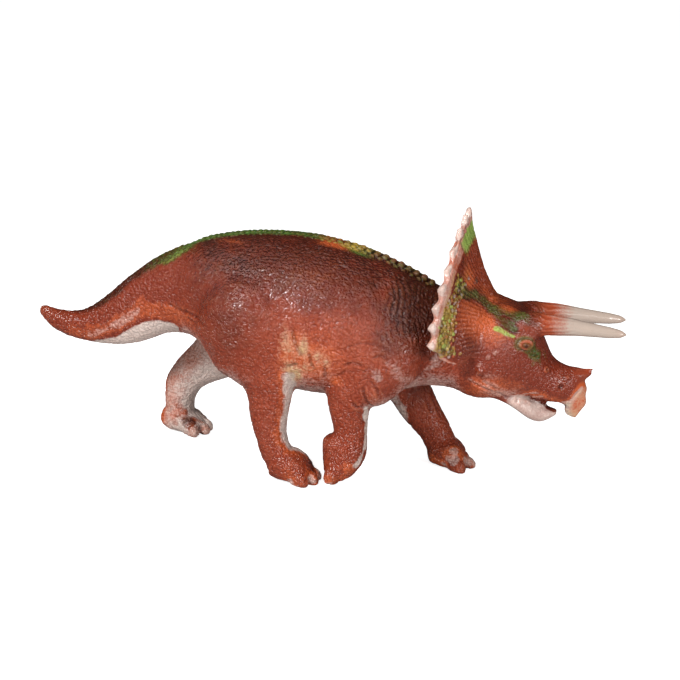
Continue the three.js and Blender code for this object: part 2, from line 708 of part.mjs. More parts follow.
const wholeHead = joined([
  loft(skullRows, skullSection), frill, noseHorn, ...sideDetails(1), ...sideDetails(-1), jawLoft, tongue,
]);
const head = wholeHead.subtract(jawZone(seamGap))
  .subtract(placed(plugGeometry(jawPlug, seamGap), ...jawPlugPlace))
  .subtract(placed(plugGeometry(neckPlug, seamGap), neckPlugPlace))
  .subtract(hornSolid(browHornShares, { ...browHorn, sign: 1, grow: seamGap }))
  .subtract(hornSolid(browHornShares, { ...browHorn, sign: -1, grow: seamGap }));
const lowerJaw = wholeHead.intersect(jawZone(0)).add(placed(plugGeometry(jawPlug), ...jawPlugPlace));

const figure = new THREE.Group();
figure.add(
  pieceMesh("torso", torso, hideMaterial),
  pieceMesh("tail", tail, hideMaterial),
  ...limbMeshes,
  pieceMesh("head", head, hideMaterial),
  pieceMesh("lower_jaw", lowerJaw, creamMaterial),
  pieceMesh("right_brow_horn", hornSolid(browHornShares, { ...browHorn, sign: -1 }), creamMaterial),
  pieceMesh("left_brow_horn", hornSolid(browHornShares, { ...browHorn, sign: 1 }), creamMaterial),
);

// The origin lies on the ground under the middle of the figure
const box = new THREE.Box3().setFromObject(figure);
const middle = box.getCenter(new THREE.Vector3());
figure.children.forEach((mesh) => mesh.position.set(-middle.x, -middle.y, -box.min.z));

export default figure;
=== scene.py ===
import math
import bpy
import bmesh
import numpy as np
from mathutils import Matrix, Vector
from mathutils.bvhtree import BVHTree
from mathutils.kdtree import KDTree


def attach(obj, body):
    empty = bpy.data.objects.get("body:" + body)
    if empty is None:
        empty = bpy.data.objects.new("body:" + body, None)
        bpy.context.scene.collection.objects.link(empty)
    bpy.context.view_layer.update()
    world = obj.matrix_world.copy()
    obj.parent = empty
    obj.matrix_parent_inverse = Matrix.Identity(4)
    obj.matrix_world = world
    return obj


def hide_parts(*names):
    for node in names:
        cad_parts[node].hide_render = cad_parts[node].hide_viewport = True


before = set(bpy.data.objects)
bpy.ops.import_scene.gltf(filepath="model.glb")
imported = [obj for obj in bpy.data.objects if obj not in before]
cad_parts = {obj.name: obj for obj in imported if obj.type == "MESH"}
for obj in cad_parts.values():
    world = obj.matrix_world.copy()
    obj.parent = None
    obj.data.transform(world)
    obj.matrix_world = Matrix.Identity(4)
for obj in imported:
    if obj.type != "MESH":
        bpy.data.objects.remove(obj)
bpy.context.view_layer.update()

MM = 0.001

# Camera
# The figure is seen from its right side, a little from ahead and from above, by a camera that
# hangs slightly askew. The frame is 680 pixels wide, at 2.44 pixels per millimetre of the figure.
camera_target = Vector((6.7, 0, 54.9)) * MM
camera_azimuth, camera_height, camera_roll = (math.radians(a) for a in (7.5, 14, -5.5))
camera_distance = 700 * MM
frame_width = 680 / 2.44 * MM
sight = Vector((-math.sin(camera_azimuth) * math.cos(camera_height),
                math.cos(camera_azimuth) * math.cos(camera_height), -math.sin(camera_height)))
level = Vector((math.cos(camera_azimuth), math.sin(camera_azimuth), 0))
above = level.cross(sight)
across = math.cos(camera_roll) * level - math.sin(camera_roll) * above
upward = math.sin(camera_roll) * level + math.cos(camera_roll) * above
lens_camera = bpy.data.cameras.new("lens_camera")
lens_camera.sensor_width = 36
lens_camera.lens = lens_camera.sensor_width * camera_distance / frame_width
camera = bpy.data.objects.new("camera", lens_camera)
camera.matrix_world = Matrix.Translation(camera_target - sight * camera_distance) @ Matrix(
    (across, upward, -sight)).transposed().to_4x4()
bpy.context.collection.objects.link(camera)
bpy.context.scene.camera = camera
bpy.context.scene.view_settings.view_transform = "Standard"

# Floor and lamps
# A white paper sheet that glows a little to the camera, so that it stays white to its far edge,
# with one soft lamp high on the animal's right, a weaker one ahead and a wide faint one overhead.
# Sheet and surround are darker in the hide's reflections, or its red would turn grey.
def feed(tree, socket, value):
    """A node's input linked to another node's output, or set to a value"""
    if isinstance(value, bpy.types.NodeSocket):
        tree.links.new(value, socket)
    else:
        socket.default_value = value


def sums(tree, operation, *values, clamp=False):
    """One sum in a node tree, of sockets or numbers"""
    node = tree.nodes.new("ShaderNodeMath")
    node.operation = operation
    node.use_clamp = clamp
    for socket, value in zip(node.inputs, values):
        feed(tree, socket, value)
    return node.outputs[0]


floor_reach = 20
floor_mesh = bpy.data.meshes.new("floor")
floor_mesh.from_pydata([(-floor_reach, -floor_reach, 0), (floor_reach, -floor_reach, 0),
                        (floor_reach, floor_reach, 0), (-floor_reach, floor_reach, 0)],
                       [], [(0, 1, 2, 3)])
floor = bpy.data.objects.new("floor", floor_mesh)
bpy.context.collection.objects.link(floor)
floor_paper = bpy.data.materials.new("floor_paper")
floor_paper.use_nodes = True
tree = floor_paper.node_tree
paper = tree.nodes["Principled BSDF"]
paper.inputs["Roughness"].default_value = 0.9
glow = tree.nodes.new("ShaderNodeEmission")
glow.inputs["Color"].default_value = (1, 1, 1, 1)
seen = tree.nodes.new("ShaderNodeLightPath")
tree.links.new(sums(tree, "MULTIPLY", seen.outputs["Is Camera Ray"], 0.9), glow.inputs["Strength"])
tree.links.new(sums(tree, "MULTIPLY_ADD", seen.outputs["Is Glossy Ray"], -0.7, 0.86),
               paper.inputs["Base Color"])
both = tree.nodes.new("ShaderNodeAddShader")
tree.links.new(paper.outputs[0], both.inputs[0])
tree.links.new(glow.outputs[0], both.inputs[1])
tree.links.new(both.outputs[0], tree.nodes["Material Output"].inputs["Surface"])
floor_mesh.materials.append(floor_paper)

surround = bpy.data.worlds.new("surround")
surround.use_nodes = True
bpy.context.scene.world = surround
tree = surround.node_tree
sky = tree.nodes["Background"]
sky.inputs["Color"].default_value = (1, 1, 1, 1)
seen = tree.nodes.new("ShaderNodeLightPath")
lit = sums(tree, "MULTIPLY_ADD", seen.outputs["Is Camera Ray"], 0.84, 0.16)
tree.links.new(sums(tree, "MULTIPLY_ADD", seen.outputs["Is Glossy Ray"], -0.13, lit),
               sky.inputs["Strength"])

for lamp_name, place, size, power in (("key_lamp", (-380, -600, 560), 200, 7.2),
                                      ("front_lamp", (520, -560, 260), 240, 2.7),
                                      ("top_lamp", (60, -60, 900), 600, 1.3)):
    lamp = bpy.data.lights.new(lamp_name, "AREA")
    lamp.shape = "DISK"
    lamp.size = size * MM
    lamp.energy = power
    holder = bpy.data.objects.new(lamp_name, lamp)
    holder.location = Vector(place) * MM
    holder.visible_glossy = lamp_name != "top_lamp"
    holder.rotation_euler = (camera_target - holder.location).to_track_quat("-Z", "Y").to_euler()
    bpy.context.collection.objects.link(holder)

# Hide of the whole figure
# The castings are plugged together, glued and sanded until no seam shows, so the hide is made as
# one skin over all of them, and each piece later gets its own part of it. Millimetres.
skin_step = 0.5
seam_fill = 0.3
casting_names = ["torso", "tail", "right_hind_leg", "left_hind_leg", "left_front_leg",
                 "right_front_leg", "head", "lower_jaw", "right_brow_horn", "left_brow_horn"]
whole = bmesh.new()
casting_of_face = []
for number, node in enumerate(casting_names):
    casting = bmesh.new()
    casting.from_mesh(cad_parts[node].data)
    bmesh.ops.remove_doubles(casting, verts=casting.verts, dist=0.002 * MM)
    casting.normal_update()
    swollen = {v: whole.verts.new(v.co + v.normal * seam_fill * MM) for v in casting.verts}
    for face in casting.faces:
        whole.faces.new([swollen[v] for v in face.verts])
        casting_of_face.append(number)
    casting.free()
casting_tree = BVHTree.FromBMesh(whole)
whole_mesh = bpy.data.meshes.new("hide")
whole.to_mesh(whole_mesh)
whole.free()
hide = bpy.data.objects.new("hide", whole_mesh)
bpy.context.collection.objects.link(hide)
remesh = hide.modifiers.new("one_skin", "REMESH")
remesh.mode = "VOXEL"
remesh.voxel_size = skin_step * MM
skin_mesh = bpy.data.meshes.new_from_object(hide.evaluated_get(bpy.context.evaluated_depsgraph_get()))
bpy.data.objects.remove(hide)
skin = np.empty(len(skin_mesh.vertices) * 3)
skin_mesh.vertices.foreach_get("co", skin)
skin = skin.reshape(-1, 3) / MM
quads = np.empty(len(skin_mesh.loops), np.int64)
skin_mesh.loops.foreach_get("vertex_index", quads)
quads = quads.reshape(-1, 4)

# only the outer skin counts: clearances inside the sockets leave small closed bubbles
island = np.arange(len(skin))
while True:
    corners = [island[quads[:, k]] for k in range(4)]
    low = np.minimum.reduce(corners)
    joined = island.copy()
    for corner in corners:
        np.minimum.at(joined, corner, low)
    joined = joined[joined]
    if (joined == island).all():
        break
    island = joined
outer = np.bincount(island).argmax()
kept = island == outer
renumber = np.cumsum(kept) - 1
quads = renumber[quads[kept[quads[:, 0]]]]
skin = skin[kept]
starts, ends = quads.ravel(), np.roll(quads, -1, axis=1).ravel()
neighbour_count = np.bincount(starts, minlength=len(skin))


def eased(values, rounds, share=0.8):
    """Values spread over the skin, as a thumb evens out wet clay"""
    for _ in range(rounds):
        mean = np.stack([np.bincount(starts, column[ends], len(skin)) for column in values.T], 1)
        values = values + share * (mean / neighbour_count[:, None] - values)
    return values


def gathered(quad_values):
    """Sums over the quads round every point of the skin"""
    return np.stack([np.bincount(quads.ravel(), np.repeat(column, 4), len(skin))
                     for column in quad_values.T], 1)


def outward(points):
    """Outward direction of the skin at every point"""
    a, b, c, d = (points[quads[:, k]] for k in range(4))
    total = gathered(np.cross(c - a, d - b))
    return total / np.maximum(np.linalg.norm(total, axis=1, keepdims=True), 1e-9)


def step(low, high, value):
    """0 below low, 1 above high and smooth between"""
    t = np.clip((value - low) / (high - low), 0, 1)
    return t * t * (3 - 2 * t)


def to_line(points, line):
    """Distance from points to a bent line, and how far along it the nearest place lies, 0 to 1"""
    line = np.array(line, float)
    best = np.full(len(points), 1e9)
    place = np.zeros(len(points))
    runs = np.linalg.norm(np.diff(line, axis=0), axis=1)
    before = 0
    for (a, b), run in zip(zip(line[:-1], line[1:]), runs):
        t = np.clip((points - a) @ (b - a) / run**2, 0, 1)
        gap = np.linalg.norm(points - a - t[:, None] * (b - a), axis=1)
        nearer = gap < best
        best = np.where(nearer, gap, best)
        place = np.where(nearer, (before + t * run) / runs.sum(), place)
        before += run
    return best, place


table_size = 4096
cell_mix = np.array((73856093, 19349663, 83492791))


def mottle(points, size, seed):
    """Smooth seeded unevenness from -1 to 1, with lumps of the given size"""
    values = np.random.default_rng(seed).uniform(-1, 1, table_size)
    cell = np.floor(points / size).astype(np.int64)
    t = points / size - cell
    t = t * t * (3 - 2 * t)
    total = np.zeros(len(points))
    for corner in np.ndindex(2, 2, 2):
        weight = np.prod(np.where(corner, t, 1 - t), axis=1)
        total += weight * values[((cell + corner) @ cell_mix) & (table_size - 1)]
    return total


# the frill's rim: how far out and how far along the animal it runs, at shares of the way from its
# top to its lower end
frill_radius, frill_sweep, frill_turn = 42.5, 28, 2.04
frill_x, frill_z = 55.3, 70.4
rim_shares = np.array([[0, 0.975, -0.03], [0.133, 0.97, -0.06], [0.303, 0.905, -0.12],
                       [0.51, 0.838, -0.185], [0.662, 0.81, -0.25], [0.846, 0.8, -0.25],
                       [0.93, 0.737, -0.13], [1, 0.68, 0.05]])


def rim_reach(turn):
    """How far the rim lies from the frill's middle, and its place along the animal"""
    return (frill_radius * np.interp(np.abs(turn), *rim_shares[:, (0, 1)].T),
            frill_x + frill_sweep * np.interp(np.abs(turn), *rim_shares[:, (0, 2)].T))


def rim_place(turn):
    """Point of the frill's rim at a turn from -1, low on the right, to 1, low on the left"""
    radius, along = rim_reach(turn)
    return (along, radius * math.sin(frill_turn * turn), frill_z + radius * math.cos(frill_turn * turn))


# lines along the fine forms that stand out of the skin, with the reach that isn't evened away
fine_lines = [
    ([rim_place(turn) for turn in np.linspace(-1, 1, 25)], 4),
    ([(96, -10.5, 75), (121, -13.6, 75)], 5),
    ([(96, 10.5, 75), (121, 13.6, 75)], 5),
    ([(86, 0, 42), (98, 0, 38)], 8),
    ([(98, 0, 52), (112, 0, 56)], 6),
    ([(100, 0, 46), (108, 0, 40)], 8),
    ([(-12, -22, 4), (6, -22, 4)], 9),
    ([(-66, 24, 4), (-50, 24, 4)], 9),
    ([(48, 24, 4), (66, 24, 4)], 9),
    ([(10, -21, 2), (10, -21, 6)], 8),
]
fine = np.zeros(len(skin))
for line, reach in fine_lines:
    fine = np.maximum(fine, 1 - step(0.8 * reach, 1.5 * reach, to_line(skin, line)[0]))
light_rounds, full_rounds, relief_rounds = 5, 55, 14
trimmed = skin - seam_fill * outward(skin)
lightly = eased(trimmed, light_rounds)
evened = eased(lightly, full_rounds)
slump = ((lightly - evened) * outward(evened)).sum(1, keepdims=True)
evened += eased(slump, full_rounds) * outward(evened)
skin = evened + fine[:, None] * (lightly - evened)

# each stretch of skin belongs to the casting below it, with the ragged borders voted smooth
centres = skin[quads].mean(axis=1)
casting_of_quad = np.array([casting_of_face[casting_tree.find_nearest(Vector(c * MM))[2]]
                            for c in centres])
vote_rounds, blend_rounds = 8, 4
for _ in range(vote_rounds):
    votes = gathered(casting_of_quad[:, None] == np.arange(len(casting_names)))
    casting_of_quad = votes[quads].sum(axis=1).argmax(axis=1)
part = dict(zip(casting_names, eased(votes / votes.sum(1, keepdims=True), blend_rounds).T))

# what is carved or built up is kept as a lift along the outward direction, and the paint as the
# cover of each coat, from the first that is sprayed to the last
out = outward(skin)
lumpiness = ((skin - eased(skin, relief_rounds)) * out).sum(axis=1)
lift = np.zeros(len(skin))
coat_tints = {"salmon": (162, 68, 39), "dusk": (66, 20, 9), "orange": (194, 88, 44),
              "pale": (214, 194, 184), "green": (70, 110, 44), "yellow": (176, 152, 62),
              "lime": (154, 182, 86)}
paint = {coat: np.zeros(len(skin)) for coat in (*coat_tints, "plain")}
waver = mottle(skin, 5, 1) + 0.5 * mottle(skin, 2, 2)

# a piece's cut edge is turned in under the skin, and the cap that closes it dips further
cap_depth, hub_depth = 1.4, 3


def dress(node, material):
    """One piece of the hide: the skin nearest its casting, closed off where the next one joins"""
    shaped = skin + lift[:, None] * out
    facing = outward(shaped)
    relief = lumpiness + lift - eased(lift[:, None], relief_rounds)[:, 0]
    own = quads[casting_of_quad == casting_names.index(node)]
    used = np.unique(own)
    faces = np.searchsorted(used, own)
    points, facing = list(shaped[used]), list(facing[used])
    a, b = faces.ravel(), np.roll(faces, -1, axis=1).ravel()
    rim = ~np.isin(a * len(used) + b, b * len(used) + a)
    loop_of = {v: v for v in np.concatenate((a[rim], b[rim]))}

    def loop_start(v):
        while loop_of[v] != v:
            v = loop_of[v]
        return v

    for v, w in zip(a[rim], b[rim]):
        loop_of[loop_start(v)] = loop_start(w)
    middle = np.mean(points, axis=0)
    caps, hubs, sunk = [], {}, {}
    for v, w in zip(a[rim], b[rim]):
        start = loop_start(v)
        if start not in hubs:
            ring = np.mean([points[u] for u in loop_of if loop_start(u) == start], axis=0)
            inward = (middle - ring) / np.linalg.norm(middle - ring)
            hubs[start] = len(points)
            points.append(ring + hub_depth * inward)
            facing.append(-inward)
        for u in (v, w):
            if u not in sunk:
                sunk[u] = len(points)
                points.append(points[u] - cap_depth * facing[u])
                facing.append(-facing[u])
        caps += [(w, v, sunk[v], sunk[w]), (sunk[w], sunk[v], hubs[start])]
    mesh = bpy.data.meshes.new(node + "_hide")
    mesh.from_pydata(np.array(points) * MM, [], faces.tolist() + caps)
    mesh.shade_smooth()
    mesh.normals_split_custom_set_from_vertices(facing)
    for coat, values in dict(paint, relief=relief).items():
        layer = mesh.attributes.new(coat, "FLOAT", "POINT")
        layer.data.foreach_set("value", np.append(values[used], np.zeros(len(points) - len(used))))
    mesh.materials.append(material)
    piece = bpy.data.objects.new(node + "_hide", mesh)
    bpy.context.collection.objects.link(piece)
    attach(piece, "root")
    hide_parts(node)
    return piece


def tint(red, green, blue):
    """A colour read off a screen, in the numbers that light is reckoned with"""
    return tuple((c / 255 / 12.92 if c < 10.4 else ((c / 255 + 0.055) / 1.055)**2.4)
                 for c in (red, green, blue)) + (1,)


def node_group(name, inputs, outputs):
    """An empty shader node group with named sockets"""
    group = bpy.data.node_groups.new(name, "ShaderNodeTree")
    for socket, kind, value in inputs:
        made = group.interface.new_socket(socket, in_out="INPUT", socket_type="NodeSocket" + kind)
        if value is not None:
            made.default_value = value
    for socket, kind in outputs:
        group.interface.new_socket(socket, in_out="OUTPUT", socket_type="NodeSocket" + kind)
    return group, group.nodes.new("NodeGroupInput").outputs, group.nodes.new("NodeGroupOutput").inputs


def blend(tree, share, under, over):
    """One colour laid over another in a node tree"""
    node = tree.nodes.new("ShaderNodeMix")
    node.data_type = "RGBA"
    for socket, value in ((0, share), (6, under), (7, over)):
        feed(tree, node.inputs[socket], value)
    return node.outputs[2]


def noise_over(tree, place, scale, detail):
    """The outputs of a noise over the figure, in a node tree"""
    node = tree.nodes.new("ShaderNodeTexNoise")
    node.inputs["Scale"].default_value = scale
    node.inputs["Detail"].default_value = detail
    tree.links.new(place, node.inputs["Vector"])
    return node.outputs


# scales and hair-fine wrinkles pressed into the whole hide, finer than the skin's own points
grain, given, made = node_group(
    "hide_grain", [("Scale Size", "Float", 0.0015), ("Plain", "Float", 0)],
    [("Height", "Float"), ("Recess", "Float")])
where = grain.nodes.new("ShaderNodeTexCoord").outputs["Object"]
warp = noise_over(grain, where, 300, 2)["Color"]
warp_reach = 1.4 * MM
bent = grain.nodes.new("ShaderNodeVectorMath")
bent.operation = "MULTIPLY_ADD"
for socket, value in zip(bent.inputs, (warp, (warp_reach,) * 3, where)):
    feed(grain, socket, value)


def pebbles(size_share, roundness):
    """Flat-topped cells of one size: 1 on their tops and 0 in the cracks between them"""
    cells = grain.nodes.new("ShaderNodeTexVoronoi")
    cells.inputs["Randomness"].default_value = 0.8
    grain.links.new(bent.outputs[0], cells.inputs["Vector"])
    size = sums(grain, "MULTIPLY", given["Scale Size"], size_share)
    grain.links.new(sums(grain, "DIVIDE", 1.0, size), cells.inputs["Scale"])
    off = sums(grain, "MULTIPLY", cells.outputs["Distance"], roundness)
    return sums(grain, "SUBTRACT", 1.0, sums(grain, "POWER", off, 4.0), clamp=True)


crease = noise_over(grain, where, 700, 3)["Fac"]
coarse, dense = pebbles(1.0, 1.5), pebbles(0.5, 1.4)
height = sums(grain, "MULTIPLY_ADD", coarse, 0.75, sums(grain, "MULTIPLY", dense, 0.18))
height = sums(grain, "MULTIPLY_ADD", crease, 0.18, height)
worn = sums(grain, "SUBTRACT", 1.0, sums(grain, "MULTIPLY", given["Plain"], 0.85), clamp=True)
grain.links.new(sums(grain, "MULTIPLY", height, worn), made["Height"])
sunk = sums(grain, "SUBTRACT", 0.95, sums(grain, "MULTIPLY_ADD", coarse, 0.7,
                                          sums(grain, "MULTIPLY", dense, 0.25)), clamp=True)
grain.links.new(sums(grain, "MULTIPLY", sunk, worn), made["Recess"])

# the paint: coats sprayed over coloured plastic, then painted shade that darkens the hollows and the cracks
# of the grain, and a painted highlight that lightens the tops
coats, given, made = node_group(
    "coats", [("Plastic", "Color", tint(128, 46, 25)),
              *((coat.title(), "Float", 0) for coat in (*coat_tints, "relief", "recess")),
              ("Wash", "Float", 0.5), ("Gloss", "Float", 0.19)],
    [("Color", "Color"), ("Roughness", "Float")])
where = coats.nodes.new("ShaderNodeTexCoord").outputs["Object"]
cloud, speckle = (noise_over(coats, where, *grade)["Fac"] for grade in ((170, 4), (1500, 2)))
uneven, fleck = (sums(coats, "SUBTRACT", noise, 0.5) for noise in (cloud, speckle))


def covered(amount):
    """How far a coat covers: its spray, broken up by clouds, specks and the grain below it"""
    spread = sums(coats, "MULTIPLY_ADD", uneven, 0.8, amount)
    spread = sums(coats, "MULTIPLY_ADD", fleck, 0.5, spread)
    worn = sums(coats, "MULTIPLY_ADD", given["Recess"], -0.2, spread)
    return sums(coats, "MULTIPLY", sums(coats, "MULTIPLY", worn, 1.25, clamp=True),
                sums(coats, "MULTIPLY", amount, 4.0, clamp=True), clamp=True)


colour = given["Plastic"]
for coat, shade in coat_tints.items():
    colour = blend(coats, covered(given[coat.title()]), colour, tint(*shade))
# painted shade: hollows of the relief and cracks of the grain made darker; painted highlight: tops made
# lighter
hollow = sums(coats, "MULTIPLY", given["Relief"], -4.0, clamp=True)
top_highlight = sums(coats, "MULTIPLY", given["Relief"], 2.2, clamp=True)
shaded_hollows = sums(coats, "MAXIMUM", hollow, sums(coats, "MULTIPLY", given["Recess"], 0.55))
colour = blend(coats, sums(coats, "MULTIPLY", shaded_hollows, given["Wash"], clamp=True), colour,
               tint(56, 22, 14))
colour = blend(coats, sums(coats, "MULTIPLY", top_highlight, 0.2), colour, tint(214, 136, 100))
coats.links.new(colour, made["Color"])
coats.links.new(sums(coats, "MULTIPLY_ADD", uneven, 0.1, given["Gloss"]), made["Roughness"])


def painted(name, scale_size=1.2, relief_depth=0.45, **settings):
    """A piece's finish: painted soft PVC with the grain pressed into it"""
    material = bpy.data.materials.new(name)
    material.use_nodes = True
    tree = material.node_tree
    plastic = tree.nodes["Principled BSDF"]
    skin_grain, skin_coats = (tree.nodes.new("ShaderNodeGroup") for _ in range(2))
    skin_grain.node_tree, skin_coats.node_tree = grain, coats
    skin_grain.inputs["Scale Size"].default_value = scale_size * MM
    for socket, value in settings.items():
        skin_coats.inputs[socket.replace("_", " ").title()].default_value = value
    for coat in (*coat_tints, "relief", "plain"):
        layer = tree.nodes.new("ShaderNodeAttribute")
        layer.attribute_name = coat
        taker = skin_grain if coat == "plain" else skin_coats
        tree.links.new(layer.outputs["Fac"], taker.inputs[coat.title()])
    tree.links.new(skin_grain.outputs["Recess"], skin_coats.inputs["Recess"])
    bump = tree.nodes.new("ShaderNodeBump")
    bump.inputs["Distance"].default_value = relief_depth * MM
    tree.links.new(skin_grain.outputs["Height"], bump.inputs["Height"])
    tree.links.new(bump.outputs["Normal"], plastic.inputs["Normal"])
    tree.links.new(skin_coats.outputs["Color"], plastic.inputs["Base Color"])
    tree.links.new(skin_coats.outputs["Roughness"], plastic.inputs["Roughness"])
    plastic.inputs["Specular IOR Level"].default_value = 0.7
    return material


# Torso
# The trunk and neck, one soft casting: folds over the ribs, at the shoulders and thighs, and a row
# of beads down the spine. What runs on over the joints is shaped and sprayed here for all pieces.
def pebbled(size, seed):
    """Rounded pebbles packed over the skin: 1 on their tops and 0 in the cracks"""
    cell = np.floor(skin / size).astype(np.int64)
    jitter = np.random.default_rng(seed).uniform(0.1, 0.9, (table_size, 3))
    nearest = np.full(len(skin), 9.0)
    for corner in np.ndindex(3, 3, 3):
        there = cell + corner - 1
        spot = there + jitter[(there @ cell_mix) & (table_size - 1)]
        nearest = np.minimum(nearest, ((skin / size - spot)**2).sum(axis=1))
    return 1 - np.clip(nearest / 0.5, 0, 1)**2


def wander(size, seed, depth, amount=1, width=0.13):
    """Creases that wander over the skin like the contour lines of a map"""
    lift[:] -= depth * amount * np.exp(-(mottle(skin, size, seed) / width)**2)


def bump(place, size):
    """1 at a place and fading round it, with its own size along x, y and z or along x and z"""
    axes = skin if len(place) == 3 else skin[:, (0, 2)]
    return np.exp(-(((axes - place) / size)**2).sum(axis=1))


def swell(place, size, height):
    """A soft rounded muscle or hollow at a place, with its own size each way"""
    away = (((skin - place) / size)**2).sum(axis=1)
    lift[:] += height * np.exp(-away) * (away < 9)


x, y, z = skin.T
sideways, upright, forward = np.abs(out[:, 1]), out[:, 2], out[:, 0]
inner = np.where(y < 0, out[:, 1], -out[:, 1])
legs = sum(part[leg] for leg in casting_names if leg.endswith("leg"))
horns = part["right_brow_horn"] + part["left_brow_horn"]
calm = np.clip(horns + part["lower_jaw"] + step(98, 102, x), 0, 1)
lift += 0.1 * mottle(skin, 6, 4) * (1 - calm)
pebble_size = 1.7
pebble_height = 0.2 - 0.05 * legs * step(50, 30, z) - 0.08 * part["head"]
lift += pebble_height * (1 - calm) * pebbled(pebble_size, 9)
wander(5, 5, 0.2, legs * step(45, 30, z) + 0.6 * step(0.1, -0.5, upright) * (1 - calm))
for side in (-1, 1):
    swell((20, 30 * side, 57), (11, 14, 12), 0.7)
    swell((-27, 30 * side, 64), (15, 14, 17), 0.8)
    swell((-12, 28 * side, 44), (9, 10, 8), 0.5)
    swell((-1, 31 * side, 56), (6, 8, 8), -0.5)
    swell((-40, 26 * side, 58), (8, 10, 12), 0.4)
swell((27.5, -28, 40.5), (3.2, 7, 3.6), 1.9)
swell((25.4, -30, 42.5), (2.6, 5, 3.6), 0.9)


def mark(line, reach, side=-1):
    """Skin near a line, which is drawn in space, or as x and z on one flank: the points, how far
    off and how far along they lie, and how squarely they face that flank"""
    line = np.array(line, float)
    flat = line.shape[1] == 2
    places = skin[:, (0, 2)] if flat else skin
    close = ((places > line.min(0) - reach) & (places < line.max(0) + reach)).all(axis=1)
    if flat:
        close &= side * skin[:, 1] > 0
    near = np.flatnonzero(close)
    gap, place = to_line(places[near], line)
    return near, gap, place, step(0, 0.35, side * out[near, 1]) if flat else np.ones(len(near))


def carve(lines, width, depth, sides=(-1,), lip=0.45, within=None):
    """Grooves drawn with a rounded tool that throws up a lip on either side"""
    for side in sides:
        for line in lines:
            near, gap, place, gate = mark(line, 4 * width, side)
            taper = np.sqrt(np.clip(4 * place * (1 - place), 0, 1))
            shape = lip * np.exp(-((gap - 1.7 * width) / width)**2) - np.exp(-(gap / width)**2)
            lift[near] += depth * taper * gate * shape * (part[within][near] if within else 1)


# wrinkles where the shoulder rolls, the longer ones first, then short ones between them
shoulder_folds = [[(11.4, 58.3), (15, 61), (19.5, 62.5), (25.4, 62.4), (29.9, 61)],
                  [(11.9, 52.4), (14.9, 54), (17.9, 54.3), (22.1, 53.4)],
                  [(10.5, 47.8), (13.9, 50.5), (18.3, 50.7)],
                  [(24.1, 57.3), (27.1, 58.4), (30.3, 57.1)]]
carve(shoulder_folds, 0.65, 0.34, sides=(-1, 1), lip=0.5)
rng = np.random.default_rng(11)
short_folds = 16
for _ in range(short_folds):
    start = np.array((rng.uniform(6, 24), rng.uniform(44, 70)))
    run = rng.uniform(5, 11)
    arc = [tuple(start + (run * share, rng.uniform(-0.4, 0.4) + 3.2 * math.sin(math.pi * (share + 0.15))))
           for share in np.linspace(0, 0.85, 4)]
    carve([arc], 0.5, 0.22, sides=(-1, 1), lip=0.5)
elbow_curls = [[(21.6, 45.9), (22.2, 42.5), (23.5, 38.9), (26.5, 36.6)],
               [(24.1, 48.3), (27.1, 45.2), (28.4, 41.7)],
               [(17.7, 37.9), (19.4, 35.8), (21.8, 36)]]
flank_folds = [[(-8, 65), (-7, 60.8), (-5.3, 56.9), (-3.2, 54.6)],
               [(-0.8, 56.5), (0.4, 52.3), (1.8, 49.5)],
               [(6, 52.3), (6.2, 49.2), (6.1, 45.5)],
               [(-9.8, 49.3), (-7.2, 50.3), (-4.4, 51)]]
chest_folds = [[(44.2, 50.9), (39.3, 48.3), (35, 43.7)],
               [(48, 58.3), (42.3, 53.9), (37.7, 51.8), (34.2, 47.8)]]
carve(flank_folds[:1], 1.0, 0.95, sides=(-1, 1), lip=0.5)
carve(flank_folds[1:], 0.9, 0.65, sides=(-1, 1), lip=0.6)
carve(elbow_curls, 0.6, 0.6, lip=0.7)
carve(chest_folds, 1.1, 0.6, sides=(-1, 1), within="torso")
carve([[(-64.5, 64.2), (-58.5, 62.9), (-52.6, 62.3), (-47, 61.9), (-42.2, 60.5)],
       [(-54.5, 60.8), (-49.6, 58.8)]], 0.8, 0.45, sides=(-1, 1))

# the neck lies in close upright creases that lean forward and fade as they run down
crease_pitch = 2.1
crease_place = x + 0.3 * (z - 75) + 1.5 * mottle(skin, 9, 7) + 0.6 * mottle(skin, 4, 12)
neck = np.clip(part["torso"] + part["right_front_leg"] + part["left_front_leg"], 0, 1)
crease_depth = (neck * step(20, 30, x) * step(54, 74, z - 0.8 * np.maximum(x - 40, 0))
                * step(0.95, 0.8, upright) * np.clip(0.6 + 0.6 * mottle(skin, 6, 8), 0.1, 1))
neck_creases = crease_depth * np.exp(-(np.sin(np.pi * crease_place / crease_pitch) / 0.4)**2)
lift -= 0.8 * neck_creases


def cover(coat, amount):
    """A coat laid on wherever it is thicker than what is there"""
    paint[coat] = np.maximum(paint[coat], amount)


def spray(coat, lines, width, amount=1, sides=(-1,), within=None, ragged=0.25):
    """Paint blown or brushed along lines, with a soft uneven edge"""
    for side in sides:
        for line in lines:
            near, gap, place, gate = mark(line, 2 * width, side)
            laid = 1 - step(0.45 * width, 1.3 * width, gap + ragged * width * waver[near])
            laid *= amount * gate * (part[within][near] if within else 1)
            paint[coat][near] = np.maximum(paint[coat][near], laid)
